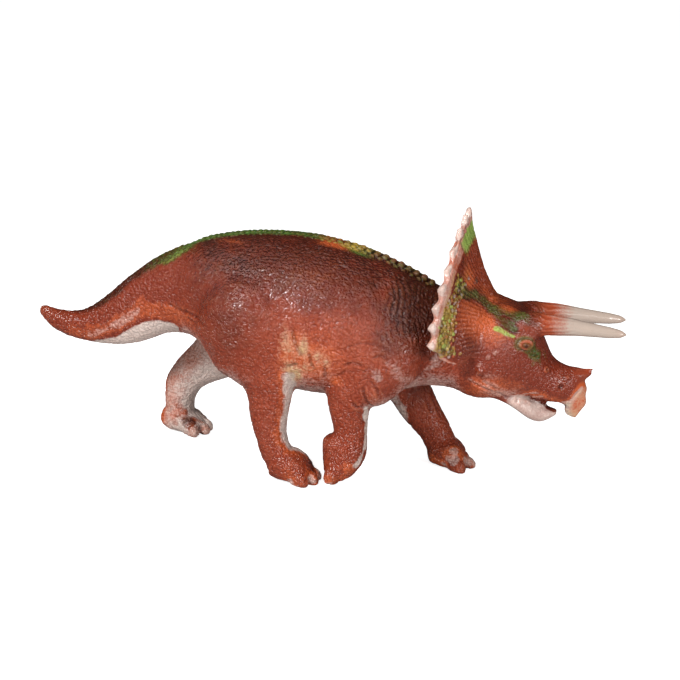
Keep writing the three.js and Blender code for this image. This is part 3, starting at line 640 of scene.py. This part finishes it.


# sprayed colours of the trunk, run on over the joints: dark above, warmer on the flanks, and painted shade
# in the neck creases
noise = 3 * waver
top_edge = np.interp(x, (-119, -112, -104.4, -97.4, -91, -84.9, -79, -72.8, -64.5, -57),
                     (54.4, 53, 52.4, 54.2, 59, 65.2, 71, 75.6, 80.6, 85.8))
tail_top = step(-1.5, 1.5, z - top_edge + 0.8 * waver) * step(-52, -58, x) * step(-117, -108, x)
spine = step(0.1, 0.4, upright) * step(5, 3.6, np.abs(y) + 0.4 * waver) * step(-62, -56, x)
cover("green", tail_top * (0.08 + 0.42 * step(-80, -62, x)) + 0.75 * spine * step(14, -14, x))
cover("yellow", 0.2 * tail_top * step(-80, -72, x) * step(2.4, 0.4, z - top_edge))
cover("dusk", 0.85 * tail_top + 0.6 * spine)
cover("dusk", 0.8 * step(64, 92, z + 1.5 * noise) * step(-66, -48, x))
cover("dusk", 0.45 * bump((-33, 62), (13, 17)) + 0.2 * bump((-52, 72), (14, 12)))
cover("dusk", 0.97 * neck * step(18, 33, x + 0.5 * noise) * step(50, 74, z + noise))
cover("salmon", step(84, 55, z + noise) * (0.35 + 0.6 * bump((2, 66), (20, 22))) * step(70, 56, x))
loin = bump((-1, 53), (11, 10)) * step(0.3, 0.7, sideways)
# painted shade: the neck creases darkened along their bottoms
cover("dusk", 0.7 * neck_creases)
cover("orange", 0.8 * loin)
cover("orange", 0.18 * bump((-3, 85), (18, 8)) * (1 + 0.5 * waver))
cover("orange", 0.3 * bump((-39, 92), (9, 1.3)) * (1 + 0.8 * waver))
cover("orange", 0.85 * bump((10, 46), (3, 2.5)))
for smudge, spread, strength in (((-10, 58), (4, 7), 0.22), ((-3, 58), (2.8, 6), 0.3),
                                 ((2.6, 55), (2.6, 5), 0.28), ((6.4, 53), (2.6, 3.6), 0.24),
                                 ((-6.6, 48), (4, 6), 0.4), ((-2, 50.5), (7, 4), 0.2)):
    smudged = bump(smudge, spread) * step(0.2, 0.5, sideways) * (1 + 0.5 * waver)
    cover("pale", strength * smudged)
    cover("yellow", 0.9 * strength * smudged)
underneath = step(-0.15, -0.8, upright) * step(64, 54, x) * step(-62, -54, x) * step(30, 36, z)
cover("pale", 0.35 * underneath)
spray("pale", [[(51.5, 60.9), (46.3, 54.7), (41.8, 51.1), (37.5, 47), (34.3, 43.3)]], 2.8, 0.28,
      sides=(-1, 1), within="torso", ragged=0.6)
spray("pale", [[(33.3, 54.2), (36.2, 51.4), (39.3, 48.9)]], 3.2, 0.2, sides=(-1, 1), ragged=0.6)
spray("pale", [[(26.4, 51.9), (27.6, 49.6)], [(30.2, 55.8), (30.6, 55.2)]], 1.7, 0.25, ragged=0.5)

near_tree = KDTree(len(skin))
for number, place in enumerate(skin):
    near_tree.insert(place, number)
near_tree.balance()


def seen_from(origin, way):
    """The skin point that a line from outside meets first"""
    met = casting_tree.ray_cast(Vector(origin) * MM, Vector(way))[0]
    return skin[near_tree.find(met / MM)[1]] if met else None


def bead(place, radius, height, coat=None, amount=1):
    """A round bead set in a shallow ring, painted on its top"""
    near = [found[1] for found in near_tree.find_range(place, 2 * radius)]
    away = np.linalg.norm(skin[near] - place, axis=1) / radius
    moat = 0.25 * np.exp(-((away - 1.15) / 0.2)**2)
    lift[near] += height * (np.sqrt(np.clip(1 - away**2, 0, 1)) - moat)
    if coat:
        paint[coat][near] = np.maximum(paint[coat][near], amount * (1 - step(0.7, 1.15, away)))


# beads down the spine, a double row at its crest and a lower one outside it, tall at the neck and
# small and close over the hips
x_bead, bead_pitch, last_bead = 45, 3.3, -110
while x_bead > last_bead:
    x_bead -= bead_pitch
    tall = float(step(-14, 22, x_bead))
    bead_pitch = 2.3 + tall
    narrow = 1 - 0.55 * step(-45, -90, x_bead)
    lit = step(-6, 2, x_bead) * step(20, 15, x_bead)
    on_neck = x_bead > 18
    for side in (-1, 1):
        for offset, along, share in ((2.1, 0, 1), (4.9, 0.5, 0.75)):
            place = seen_from((x_bead - along * bead_pitch, side * offset * narrow, 150), (0, 0, -1))
            if place is None:
                continue
            size = (1.15 + 0.5 * tall) * share * narrow * rng.uniform(0.9, 1.1)
            bead(place, size, (0.3 + 0.4 * tall) * share * size)
            greenness = (0.6 + 0.35 * lit - 0.15 * on_neck) * rng.uniform(0.6, 1)
            bead(place, size, 0, "green", greenness * step(-104, -84, x_bead))
            bead(place, 0.8 * size, 0, "yellow", lit * rng.choice((0, 0.5, 1)))
            if rng.uniform() < 0.5:
                bead(place, size, 0, "orange", lit)
            # painted highlight: a pale dab on the top of each neck bead
            if on_neck:
                bead(place + (0, 0, 0.4), 0.6 * size, 0, "pale", 0.3 * rng.uniform())
streak = [(-97, 44.9), (-90.3, 48.3), (-83.8, 52.8), (-77.9, 57.6), (-71, 60.5)]
spray("orange", [streak + [(-63, 60.5), (-55, 57.8), (-49, 53.5), (-45, 48), (-43, 42)]], 4, 0.45,
      sides=(-1, 1), ragged=0.6)
crest = step(0.1, 0.4, upright) * (1 + 0.6 * waver)
cover("orange", 1.1 * crest * bump((1, 93), (6, 9)) * step(11, 8, np.abs(y) + waver))
cover("green", 0.7 * crest * bump((12, 93), (5, 9)) * step(10, 7, np.abs(y) + waver))
cover("yellow", 0.6 * crest * bump((9, 93), (5, 9)) * step(8, 6, np.abs(y) + waver))
paint["orange"] *= 1 - 0.8 * tail_top
cover("lime", 0.25 * tail_top * bump((-60, 81), (7, 9)))
dress("torso", painted("torso_paint"))

# Tail
# A solid casting that tapers to a blunt tip, dark above, with a cream streak along its side over an
# orange one, and bare below.
white_edge = np.interp(x, (-98, -89.2, -86.1, -83.8, -78.6, -73, -67.8, -61.4, -57.2, -52),
                       (41.5, 44.7, 45.6, 47, 51.4, 54.7, 56.1, 55.8, 53.6, 49.5))
bare = step(0.7, -0.7, z - white_edge + 0.5 * waver) * step(-103, -93, x) * step(-51, -56, x)
cover("pale", bare * (1 - legs))
spray("pale", [streak[:4]], 1.9, 0.25, sides=(-1, 1), ragged=0.8)
spray("orange", [[(-104, 44), (-100, 44.2), (-96, 44.4)]], 4, 0.4, sides=(-1, 1), ragged=0.6)
paint["salmon"] *= 1 - step(-48, -60, x)
dress("tail", painted("tail_paint"))

# Legs
# Four solid castings with a hip or shoulder pad each, thick folds above the feet and blunt nails.
# Their fronts and inner sides are left paler, and the toes are touched in with cream and orange.
for leg in ("right_hind_leg", "right_front_leg"):
    cover("pale", 0.95 * part[leg] * step(0.45, 0.8, forward + 0.6 * inner + 0.12 * waver)
          * step(0, 0.3, inner) * step(58, 36, z))
thigh_front = [(-7.2, -33.1, 58.8), (-6.4, -32.5, 52.7), (-7.2, -29.4, 45.6), (-8.2, -25.6, 38.3),
               (-8.6, -25.4, 32), (-8.8, -25, 25.6), (-8.5, -24.2, 19), (-6.3, -22.1, 14.5), (-3, -18.3, 12)]
spray("orange", [thigh_front], 5.6, 0.7, within="right_hind_leg", ragged=0.4)
spray("pale", [thigh_front[2:]], 3.0, 0.9, within="right_hind_leg", ragged=0.4)
arm_front = [(23.2, -26.7, 35.4), (23.8, -22.4, 29.3), (24.2, -22.2, 23.1), (24.4, -24, 18.2),
             (23.2, -26.6, 14.6), (21.6, -28, 11.8)]
spray("pale", [arm_front], 1.7, 0.85, within="right_front_leg", ragged=0.6)
hind, fore = part["left_hind_leg"], part["left_front_leg"]
bare = step(-0.4, 0.2, inner + 0.4 * forward + 0.15 * waver)
cover("pale", hind * bare * step(-71, -67.5, x + 0.5 * waver))
# the far thigh's rear edge is sprayed orange, laid on thick enough to be partly painted light where the
# lamps leave that side in shade
shin_back = [(-50, 16.5, 43), (-53.9, 17, 40.8), (-60, 18.3, 35.5), (-65.8, 19.1, 27.6), (-69, 19.8, 20.2),
             (-70.5, 20, 14), (-69, 19, 9)]
warm = hind * step(13, 3, to_line(skin, shin_back)[0] + 1.2 * waver)
cover("orange", 0.95 * warm)
paint["pale"] *= 1 - 0.5 * warm
carve([[(-65, 15.9, 7.9), (-62, 16.5, 8.1), (-59, 17, 8.6)],
       [(-66, 15.9, 10.2), (-62, 16.5, 10.5), (-58, 18, 10.5)]], 0.6, 0.5)
cover("salmon", 0.5 * fore * step(44, 30, z))
spray("pale", [[(33.5, 20, 20.5), (30.5, 20, 28), (28.5, 20, 37)]], 3.6, 0.75, ragged=0.4)
carve([[(42.4, 18.2, 31.3), (44.2, 18.4, 27.1), (46.7, 18.6, 23)],
       [(45.1, 21.4, 30.9), (47.9, 21.1, 25.6), (50.1, 20.6, 21.6)]], 0.8, 0.5)
paint["dusk"] *= 1 - 0.75 * fore * step(55, 45, z)
# painted shade where the far front leg meets the body
cover("dusk", 0.5 * fore * bump((38, 17, 33), (5, 8, 9)))

# strokes across the feet: a coat, its strength, its reach and where it runs
foot_strokes = [
    ("orange", 0.6, 2.8, [(-64.5, 16.5, 8.7), (-62, 17.5, 9.3), (-60.4, 18.3, 9.3)]),
    ("orange", 0.5, 1.8, [(-64.5, 16.4, 12), (-62, 17.5, 12.4)]),
    ("orange", 0.5, 2.4, [(-64, 15.7, 6.9), (-63, 15, 5)]),
    # the next two dusk strokes are painted shade in the crook of the left hind ankle
    ("dusk", 0.6, 3.2, [(-58, 16.5, 10.5), (-56.5, 16.5, 9), (-54, 17.5, 8.2)]),
    ("dusk", 0.9, 2.8, [(-58.9, 15.2, 6.7), (-56.9, 14.8, 5.3), (-56.1, 16.4, 6.7)]),
    ("orange", 0.6, 1.8, [(-55.5, 18.5, 7.3), (-53.7, 20, 6.4), (-52.5, 20.5, 5.6)]),
    ("orange", 0.9, 3.4, [(55.1, 15.2, 7.7), (57, 15.8, 9.1), (58.1, 17.3, 9.7)]),
    ("orange", 0.9, 3.2, [(48.8, 17.4, 4.1), (52, 16.8, 3), (54.7, 17.2, 1.9)]),
    ("orange", 0.9, 3.2, [(60.9, 17.9, 8), (63, 19, 7)]),
    ("orange", 0.6, 3.0, [(18.8, -29.9, 10.7), (20, -28.6, 8.8)]),
]
for coat, strength, reach, stroke in foot_strokes:
    stroked = step(reach, 0.4 * reach, to_line(skin, stroke)[0] + 0.5 * waver)
    cover(coat, strength * stroked)
    paint["pale"] *= 1 - 0.9 * strength * stroked
spray("pale", [[(55.7, 15, 6.1), (57.6, 14.4, 4.5), (58.2, 15.2, 6.2)], [(53, 16, 2.2), (55, 16.6, 1.6)],
               [(56.9, 15.8, 9), (57.9, 16.8, 9.5)]], 1.5, 0.45, ragged=0.5)
toe_tips = {"right_hind_leg": [(-3, -30, 2), (4, -27, 3), (7, -24, 3), (6, -19, 3)],
            "left_hind_leg": [(-50, 19.5, 2.2), (-53.7, 13.8, 2.6), (-55, 30, 3)],
            "left_front_leg": [(62.6, 20.5, 4.2), (65.2, 24.8, 4.4)],
            "right_front_leg": [(12.5, -31, 2.6), (15.5, -30.5, 2.2), (18, -30, 3.2), (11, -20, 2)]}
for leg, tips in toe_tips.items():
    for tip in tips:
        toe = part[leg] * bump(tip, (4, 4, 4))
        cover("orange", 0.9 * toe)
        paint["pale"] *= 1 - 0.65 * toe
    spray("pale", [[tip, np.add(tip, (0.8, 0, -0.8))] for tip in tips], 2.2, 0.6, within=leg, ragged=0.5)
for leg in toe_tips:
    # the legs get less painted shade in their hollows than the trunk
    dress(leg, painted(leg + "_paint", scale_size=1.1, wash=0.4))

# Head
# The skull and the frill in one casting: a rim of points, a band of small beads inside it, a boss
# and eye-like spots on the frill, and the brow, cheek, nostrils, lips and beak.
def moved(lines, way):
    """Lines shifted as a whole"""
    return [[tuple(np.add(point, way)) for point in line] for line in lines]


def both_sides(lines):
    """Lines drawn in space on the right of the head, and their mirror images on the left"""
    return lines + [[(px, -py, pz) for px, py, pz in line] for line in lines]


# the outline of nose horn, beak and jaw tip, drawn out or pressed in: place, reach and way
for place, reach, way in (((109, 0, 55.5), (4, 5, 2.6), (0.6, 0, 1.1)),
                          ((108, 0, 54), (3, 4, 1.7), (1.5, 0, 0)),
                          ((109, 0, 51), (5, 6, 2.2), (-1.1, 0, 0)),
                          ((109, 0, 46.5), (5, 6, 2.6), (-0.7, 0, 0)),
                          ((107.6, 0, 41.5), (4, 6, 2.6), (1.1, 0, 0)),
                          ((106.3, 0, 38), (3, 6, 2.4), (0.4, 0, 0.5)),
                          ((102.7, 0, 37.4), (2.6, 5, 3), (-1.7, 0, 0))):
    skin += bump(place, reach)[:, None] * way
head = part["head"]
turn = np.arctan2(np.abs(y), z - frill_z) / frill_turn
rim_radius, rim_along = rim_reach(turn)
inset = rim_radius - np.hypot(y, z - frill_z)
on_frill = head * step(12, 8, np.abs(x - rim_along - 0.3 * np.clip(inset, 0, 40))) * (z > 52)
over_throat = head * step(50, 57, z)
for coat in ("green", "yellow", "orange", "pale", "dusk"):
    paint[coat] *= 1 - over_throat

# the rim's points: tall fingers at the top, flush with the rim beside them, blunt cones lower down
rim_points = 19
for point in range(rim_points):
    at = (2 * point + 1) / rim_points - 1
    radial = np.array((0, math.sin(frill_turn * at), math.cos(frill_turn * at)))
    off = skin - np.array(rim_place(at))
    along = off @ radial
    beside = off @ np.array((0, -radial[2], radial[1]))
    close = (np.abs(off[:, 0]) < 6) * (np.abs(beside) < 6) * head
    if abs(at) < 0.25:
        finger = np.exp(-(beside / 1.6)**2) * step(-6.5, -3.5, along) * close
        skin += (0.7 * finger * step(-1, 1, along))[:, None] * radial
        skin[:, 0] -= 0.3 * off[:, 0] * finger
        lift += 0.3 * finger
        lift -= 0.45 * np.exp(-((np.abs(beside) - 2.5) / 0.7)**2) * step(-6.5, -3.5, along) * close
    elif abs(at) < 0.45 or abs(at) > 0.9:
        skin -= (1.3 * np.exp(-(beside / 2.4)**2) * step(-1.5, 1, along) * close)[:, None] * radial
    else:
        cone = np.exp(-(beside / 1.7)**2 - (off[:, 0] / 2.2)**2) * step(-3, 1.5, along) * close
        skin += cone[:, None] * radial
        lift += 0.5 * cone
rim_band = on_frill * step(-0.3, 0.6, np.interp(turn, (0, 0.3, 0.4, 0.5, 0.6, 0.7, 0.8, 0.9),
                                                (5, 4.6, 3.8, 3.2, 2.4, 1.8, 1, 0.3)) - inset + 0.7 * waver)
cords = [[rim_place(side * at) for at in (0.32, 0.24, 0.16, 0.07)] for side in (-1, 1)]
for shift in (-1.4, 0.2, 1.8):
    carve(moved(cords, (shift, 0, 0)), 0.5, 0.5)
cover("orange", 0.8 * rim_band)
cover("pale", 0.42 * rim_band * (0.9 + 0.4 * waver))
cover("yellow", 0.3 * rim_band * step(0.34, 0.46, turn) * step(0.5, 2.5, inset))
cover("plain", 0.6 * rim_band)
ridges = np.cos(170 * turn + 2.5 * mottle(skin, 6, 41)) * on_frill * step(4, 9, inset)
lift += 0.22 * ridges
# painted highlight along the crests of the ridges
cover("pale", 0.22 * ridges * bump((62, 0, 72), (14, 60, 8)))
cover("pale", 0.8 * on_frill * step(0.6, -0.8, inset) * step(0.93, 0.88, turn))
band_inset = ((0.4, 0.49, 0.58, 0.68, 0.78, 0.87, 0.96), (7.5, 7, 5.4, 4.2, 3.4, 2.4, 1))
band = (on_frill * step(3.3, 2.0, np.abs(inset - np.interp(turn, *band_inset)) + 0.8 * waver)
        * step(0.38, 0.48, turn) * step(0.95, 0.9, turn))
cover("green", 0.32 * band * (1 + 0.5 * waver))
cover("yellow", 0.45 * band * step(-0.5, 0.5, mottle(skin, 3, 21)))
bead_coats = ["lime", "yellow", "orange", "pale"]
for side in (-1, 1):
    for row, row_shift in enumerate((-2.4, -1.2, 0, 1.2, 2.4)):
        at = 0.4 + 0.01 * (row % 2)
        while at < 0.93:
            radius = rim_reach(at)[0] - row_shift - np.interp(at, *band_inset)
            radius += rng.uniform(-0.8, 0.8)
            place = seen_from((75, side * radius * math.sin(frill_turn * at),
                               frill_z + radius * math.cos(frill_turn * at)), (-1, 0, 0))
            if place is not None and place[2] > 54:
                bead_coat = rng.choice(bead_coats, p=(0.12, 0.4, 0.28, 0.2))
                bead(place, rng.uniform(0.5, 0.9), 0.3, bead_coat, 0.6)
            at += rng.uniform(0.012, 0.026)

# colours of the frill's face, then the boss, the spots, the eye sockets and the snout on each side, with
# painted highlights on the cheek and snout
crown = on_frill * step(0.5, 2, inset - 1.2 * waver) * step(9, 4.5, inset + waver) * step(0.27, 0.2, turn)
paint["orange"] *= 1 - crown
cover("lime", 1.1 * crown)
cover("yellow", 0.4 * crown)
above_band = (on_frill * step(4, 6, inset) * step(14, 9, inset)
              * step(0.24, 0.32, turn) * step(0.52, 0.44, turn))
cover("dusk", 0.5 * above_band * (1 + 0.5 * waver))
cover("green", 0.22 * above_band * (1 + waver))
face = head * step(5, 8, inset) * step(84, 78, x)
frill_glow = np.clip(0.75 * bump((69, 73), (9, 6.5)) + 0.6 * bump((60, 79), (7, 8)), 0, 0.8)
cover("orange", head * (1 - crown) * frill_glow)
cover("salmon", 0.5 * face * step(78, 86, z))
cover("dusk", 0.7 * head * step(0.35, 0.8, upright) * step(58, 64, x) * step(88, 80, x))
streaks = both_sides([[(54.3, -23.6, 87.2), (57.7, -18.8, 85), (61.5, -14.2, 82.5), (65.6, -11.5, 79.5),
                       (69.2, -13.2, 77.2), (73.2, -15.4, 74.6), (76.6, -15.4, 72.6)],
                      [(69.7, -10.9, 78.8), (73.9, -11.9, 77.1), (78, -13.3, 76.7), (81.3, -14.5, 76.2)]])
for line in streaks:
    paint["orange"] *= 1 - 0.7 * step(4.5, 2, to_line(skin, line)[0] + waver)
spray("green", streaks, 2.6, 0.34, within="head", ragged=0.9)
spray("dusk", streaks, 4.2, 0.85, within="head", ragged=0.7)
bright_streak = both_sides([[(70.5, -17.9, 71.9), (73.8, -18, 70.7), (77.5, -17, 69.4)]])
spray("lime", bright_streak, 1.2, 0.75, ragged=0.9)
for side in (-1, 1):
    boss = np.array((57.6, 25 * side, 66))
    swell(boss, (6, 5, 6), 1.1)
    cover("dusk", 0.42 * head * step(12, 5, np.linalg.norm((skin - boss) / (1.2, 1, 0.8), axis=1)))
    for dent in range(7):
        start = boss + (1.9 * dent - 5.5, 0, rng.uniform(1, 3.5))
        carve([[start, start + (0.4, 0, -rng.uniform(3, 5))]], 0.35, 0.3)
    mirror = (1, side, 1)
    red_spot = np.multiply((57.2, 16.3, 90.6), mirror)
    cover("orange", 1.5 * bump(red_spot, (4, 3.4, 3.8)) * head)
    bead(red_spot, 1.0, -0.4, "pale", 0.35)
    bead(np.multiply((59.9, 11.9, 88.7), mirror), 1.3, 0.3, "dusk", 0.9)
    cover("orange", 0.8 * bump(np.multiply((73.6, 9.4, 78.6), mirror), (4, 3, 2.5)) * head)
    ocellus = np.multiply((66.7, 7, 81.6), mirror)
    cover("orange", 0.7 * bump(ocellus, (3.4, 3.4, 3.4)) * head)
    bead(ocellus, 1.1, 0.4)
    for spoke in np.arange(8) * 0.785:
        dot = ocellus + (1.9 * math.cos(spoke), 0.9 * side, 1.9 * math.sin(spoke))
        bead(dot, 0.7, -0.35, "dusk", 0.8)
    swell((90, 10.5 * side, 77.5), (7, 5, 4), 0.6)

    # eye socket, cheek and snout
    eye_place = np.array((82.7, 17.6 * side, 66.8))
    swell(eye_place, (3, 3, 2.4), 0.8)
    off = np.linalg.norm((skin - eye_place) / (1.25, 1, 0.85), axis=1)
    lift += 0.4 * np.exp(-((off - 2.2) / 0.45)**2) - 0.45 * np.exp(-((off - 3.0) / 0.45)**2)
    cover("green", 0.45 * np.exp(-((off - 3.2) / 1.1)**2))
    cover("orange", 0.35 * step(3.0, 2.2, off))
    green_patch = [np.multiply(p, mirror)
                   for p in ((84.6, 13.4, 64.2), (86.8, 12.2, 62.1), (89, 10.9, 59.6))]
    spray("green", [green_patch], 4.4, 0.6, ragged=0.8)
    spray("dusk", [green_patch], 4.0, 0.5, ragged=0.7)
    for shift_down in (0, -1.6, -3.2):
        carve([[eye_place + (1.6, -3 * side, -2.4 + shift_down),
                eye_place + (3.4, -5 * side, -3.4 + shift_down),
                eye_place + (6.2, -7 * side, -2.2 + shift_down)]], 0.4, 0.4)
    tubercle = np.array((91.6, 9.4 * side, 56.1))
    bead(tubercle, 1.5, 0.4, "orange", 0.3)
    bead(tubercle, 0.7, -0.4, "dusk", 0.6)
    bead(np.array((100.4, 5.8 * side, 53.2)), 1.1, 0.4)
    nostril = np.array((98.2, 7.8 * side, 49.3))
    bead(nostril, 1.4, -0.5, "dusk", 0.35)
    # painted highlights: rows of pale dots down the snout
    for share in np.linspace(0, 1, 12):
        dot = np.array((89.5 + 10.2 * share, (9.2 - 2.7 * share) * side, 61.7 - 9.2 * share))
        for shift_down in (0, 1.5):
            bead(dot + rng.uniform(-0.3, 0.3, 3) - (0, 0, shift_down), 0.55, 0.35, "pale",
                 rng.uniform(0, 0.6 - 0.4 * share))
    # painted highlights: pale dabs on the cheek
    for place in ((65.3, 20.1, 57.1), (71, 20.5, 62.8), (68.5, 20.9, 60.6)):
        bead(np.multiply(place, mirror), 1.2, 0.3, "pale", 0.22)

# throat, corners of the mouth and beak
throat_lines = both_sides([
    [(62.8, -17.2, 49), (65.7, -17.4, 48.2), (69.3, -16.5, 46.8), (71.8, -14.6, 45.4)],
    [(68, -18.7, 49.7), (71.2, -17.4, 48.6), (74.1, -14.9, 46.6)],
    [(73.3, -13.8, 45.4), (75.7, -11.5, 43.8), (77.9, -10.2, 42.6)]])
carve(throat_lines, 0.7, 0.4, lip=0.8)
# painted highlight along the upper lips of the throat creases
spray("pale", moved(throat_lines, (0, 0, 1)), 1.6, 0.25, ragged=0.5)
cover("pale", 0.48 * head * bump((75, 44.5), (7, 3.4)))
cover("orange", 0.95 * head * bump((71, 46.5), (11, 5.5)))
cover("pale", 0.2 * bump((69, 52.8), (5, 1.8)) * step(0.2, 0.5, sideways) * head)
lips = both_sides([[(82.5, -9, 42.8), (84, -8.9, 44.7), (86.7, -9.6, 45.9), (89.4, -9.3, 46)],
                   [(85.1, -7.7, 41.2), (86.5, -7.5, 42.5), (88.8, -7.3, 43.9), (90.8, -8, 44.5)],
                   [(81, -9.8, 41.5), (81.8, -9.4, 43.8)]])
carve(moved(lips, (0.2, 0, -0.9)), 0.6, 0.55, lip=0.6)
spray("orange", lips, 2.2, 0.6, ragged=0.5)
spray("pale", lips, 1.0, 0.4, ragged=0.5)
mouth_edge = [(88, -8, 45.5), (92.2, -7, 45.2), (96, -6, 43.8), (99.4, -4.5, 42.3),
              (102.4, -4.5, 43.6), (105.2, -4.2, 47.2), (107, -3, 49)]
beak = head * step(99, 102, x) * step(1, -1, z - np.interp(x, (99, 102.4, 105.2, 108), (42, 43.6, 47.2, 50)))
cover("orange", 0.8 * beak * step(101, 104.5, x + 0.5 * waver))
cover("pale", beak * (0.7 - 0.45 * step(102, 105, x + waver)))
cover("yellow", 0.2 * beak)
spray("orange", both_sides([mouth_edge]), 2.4, 0.75, within="head", ragged=0.5)
beak_edge = [(99.4, -4.5, 42), (102.4, -4.5, 43), (105, -4.2, 46.2), (106.6, -3, 48.2)]
spray("pale", both_sides([beak_edge]), 1.2, 0.45, within="head", ragged=0.5)
carve(both_sides([mouth_edge[3:]]), 0.6, 0.25)
cover("orange", 0.2 * head * bump((108, 52), (4, 6)))
cover("plain", head * step(101, 105, x))
# the head gets less painted shade in its hollows than the trunk
dress("head", painted("head_paint", scale_size=1.05, relief_depth=0.3, wash=0.45, gloss=0.24))

# Lower jaw
# A casting of its own, pushed up into the skull and glued. It is cream from its root forward, and
# the tongue is moulded in it and darkened, partly as its own dark paint and partly as painted shade inside
# the mouth.
jaw = part["lower_jaw"]
cover("pale", 0.62 * jaw * step(75, 81, x + waver))
cover("plain", 0.7 * jaw)
# painted shade inside the mouth, over the tongue's own darker paint
tongue = jaw * step(0.3, 0.7, upright) * step(3.5, 2.5, np.abs(y)) * step(86, 89, x)
paint["pale"] *= 1 - 0.9 * tongue
cover("dusk", 0.7 * tongue)
# the jaw gets little painted shade in its hollows
dress("lower_jaw", painted("jaw_paint", scale_size=1.1, relief_depth=0.3, wash=0.25, gloss=0.3))

# Brow horns
# Two castings plugged into the brow, grooved lengthwise near the base, cast in cream and sprayed
# red-brown at the root.
for horn in ("right_brow_horn", "left_brow_horn"):
    own = step(0, 0.2, part[horn])
    slices = np.arange(78, 122, 2)
    members = own > 0.5
    place_in = np.digitize(x[members], slices)
    count = np.maximum(np.bincount(place_in, minlength=len(slices) + 1), 1)
    axis_y, axis_z = (np.bincount(place_in, v[members], len(slices) + 1)[1:] / count[1:]
                      for v in (y, z))
    around = np.arctan2(z - np.interp(x, slices + 1, axis_z), y - np.interp(x, slices + 1, axis_y))
    ripple = np.cos(13 * around + 2.5 * mottle(skin, 5, 31))
    lift += 0.2 * own * ripple * step(108, 88, x)
    root = own * step(103, 86, x + 1.5 * waver + 1.2 * ripple)
    for coat, thickness in (("salmon", root), ("orange", 0.15 * root),
                            ("dusk", own * (0.7 * step(89, 82, x + waver) + 0.25 * root)),
                            ("pale", 0), ("green", 0), ("yellow", 0)):
        paint[coat] = paint[coat] * (1 - own) + thickness
    cover("plain", own * step(84, 92, x))
    dress(horn, painted(horn + "_paint", relief_depth=0.2, plastic=tint(174, 160, 148)))

# Eyes
# Moulded on the head and painted orange-brown with a darker middle. Each is made here as a small
# bead of its own in its socket, because its varnish is glossier than the hide.
eye_paint = bpy.data.materials.new("eye_paint")
eye_paint.use_nodes = True
tree = eye_paint.node_tree
where = tree.nodes.new("ShaderNodeTexCoord")
flat_place = tree.nodes.new("ShaderNodeVectorMath")
flat_place.operation = "MULTIPLY"
flat_place.inputs[1].default_value = (1, 0, 1)
tree.links.new(where.outputs["Object"], flat_place.inputs[0])
off_centre = tree.nodes.new("ShaderNodeVectorMath")
off_centre.operation = "LENGTH"
tree.links.new(flat_place.outputs[0], off_centre.inputs[0])
iris_share = tree.nodes.new("ShaderNodeMapRange")
iris_share.inputs["From Min"].default_value = 0.5 * MM
iris_share.inputs["From Max"].default_value = 0.9 * MM
tree.links.new(off_centre.outputs["Value"], iris_share.inputs["Value"])
iris = blend(tree, iris_share.outputs["Result"], tint(70, 36, 22), tint(116, 70, 42))
varnish = tree.nodes["Principled BSDF"]
tree.links.new(iris, varnish.inputs["Base Color"])
varnish.inputs["Roughness"].default_value = 0.15
eye_half = Vector((1.7, 1.6, 1.15))
for name, side in (("right_eye", -1), ("left_eye", 1)):
    ball = bmesh.new()
    bmesh.ops.create_uvsphere(ball, u_segments=32, v_segments=20, radius=1)
    bmesh.ops.scale(ball, vec=eye_half * MM, verts=ball.verts)
    eye_mesh = bpy.data.meshes.new(name)
    ball.to_mesh(eye_mesh)
    ball.free()
    eye_mesh.shade_smooth()
    eye_mesh.materials.append(eye_paint)
    eye = bpy.data.objects.new(name, eye_mesh)
    eye.location = Vector((82.8, 17.9 * side, 66.9)) * MM
    bpy.context.collection.objects.link(eye)
    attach(eye, "root")
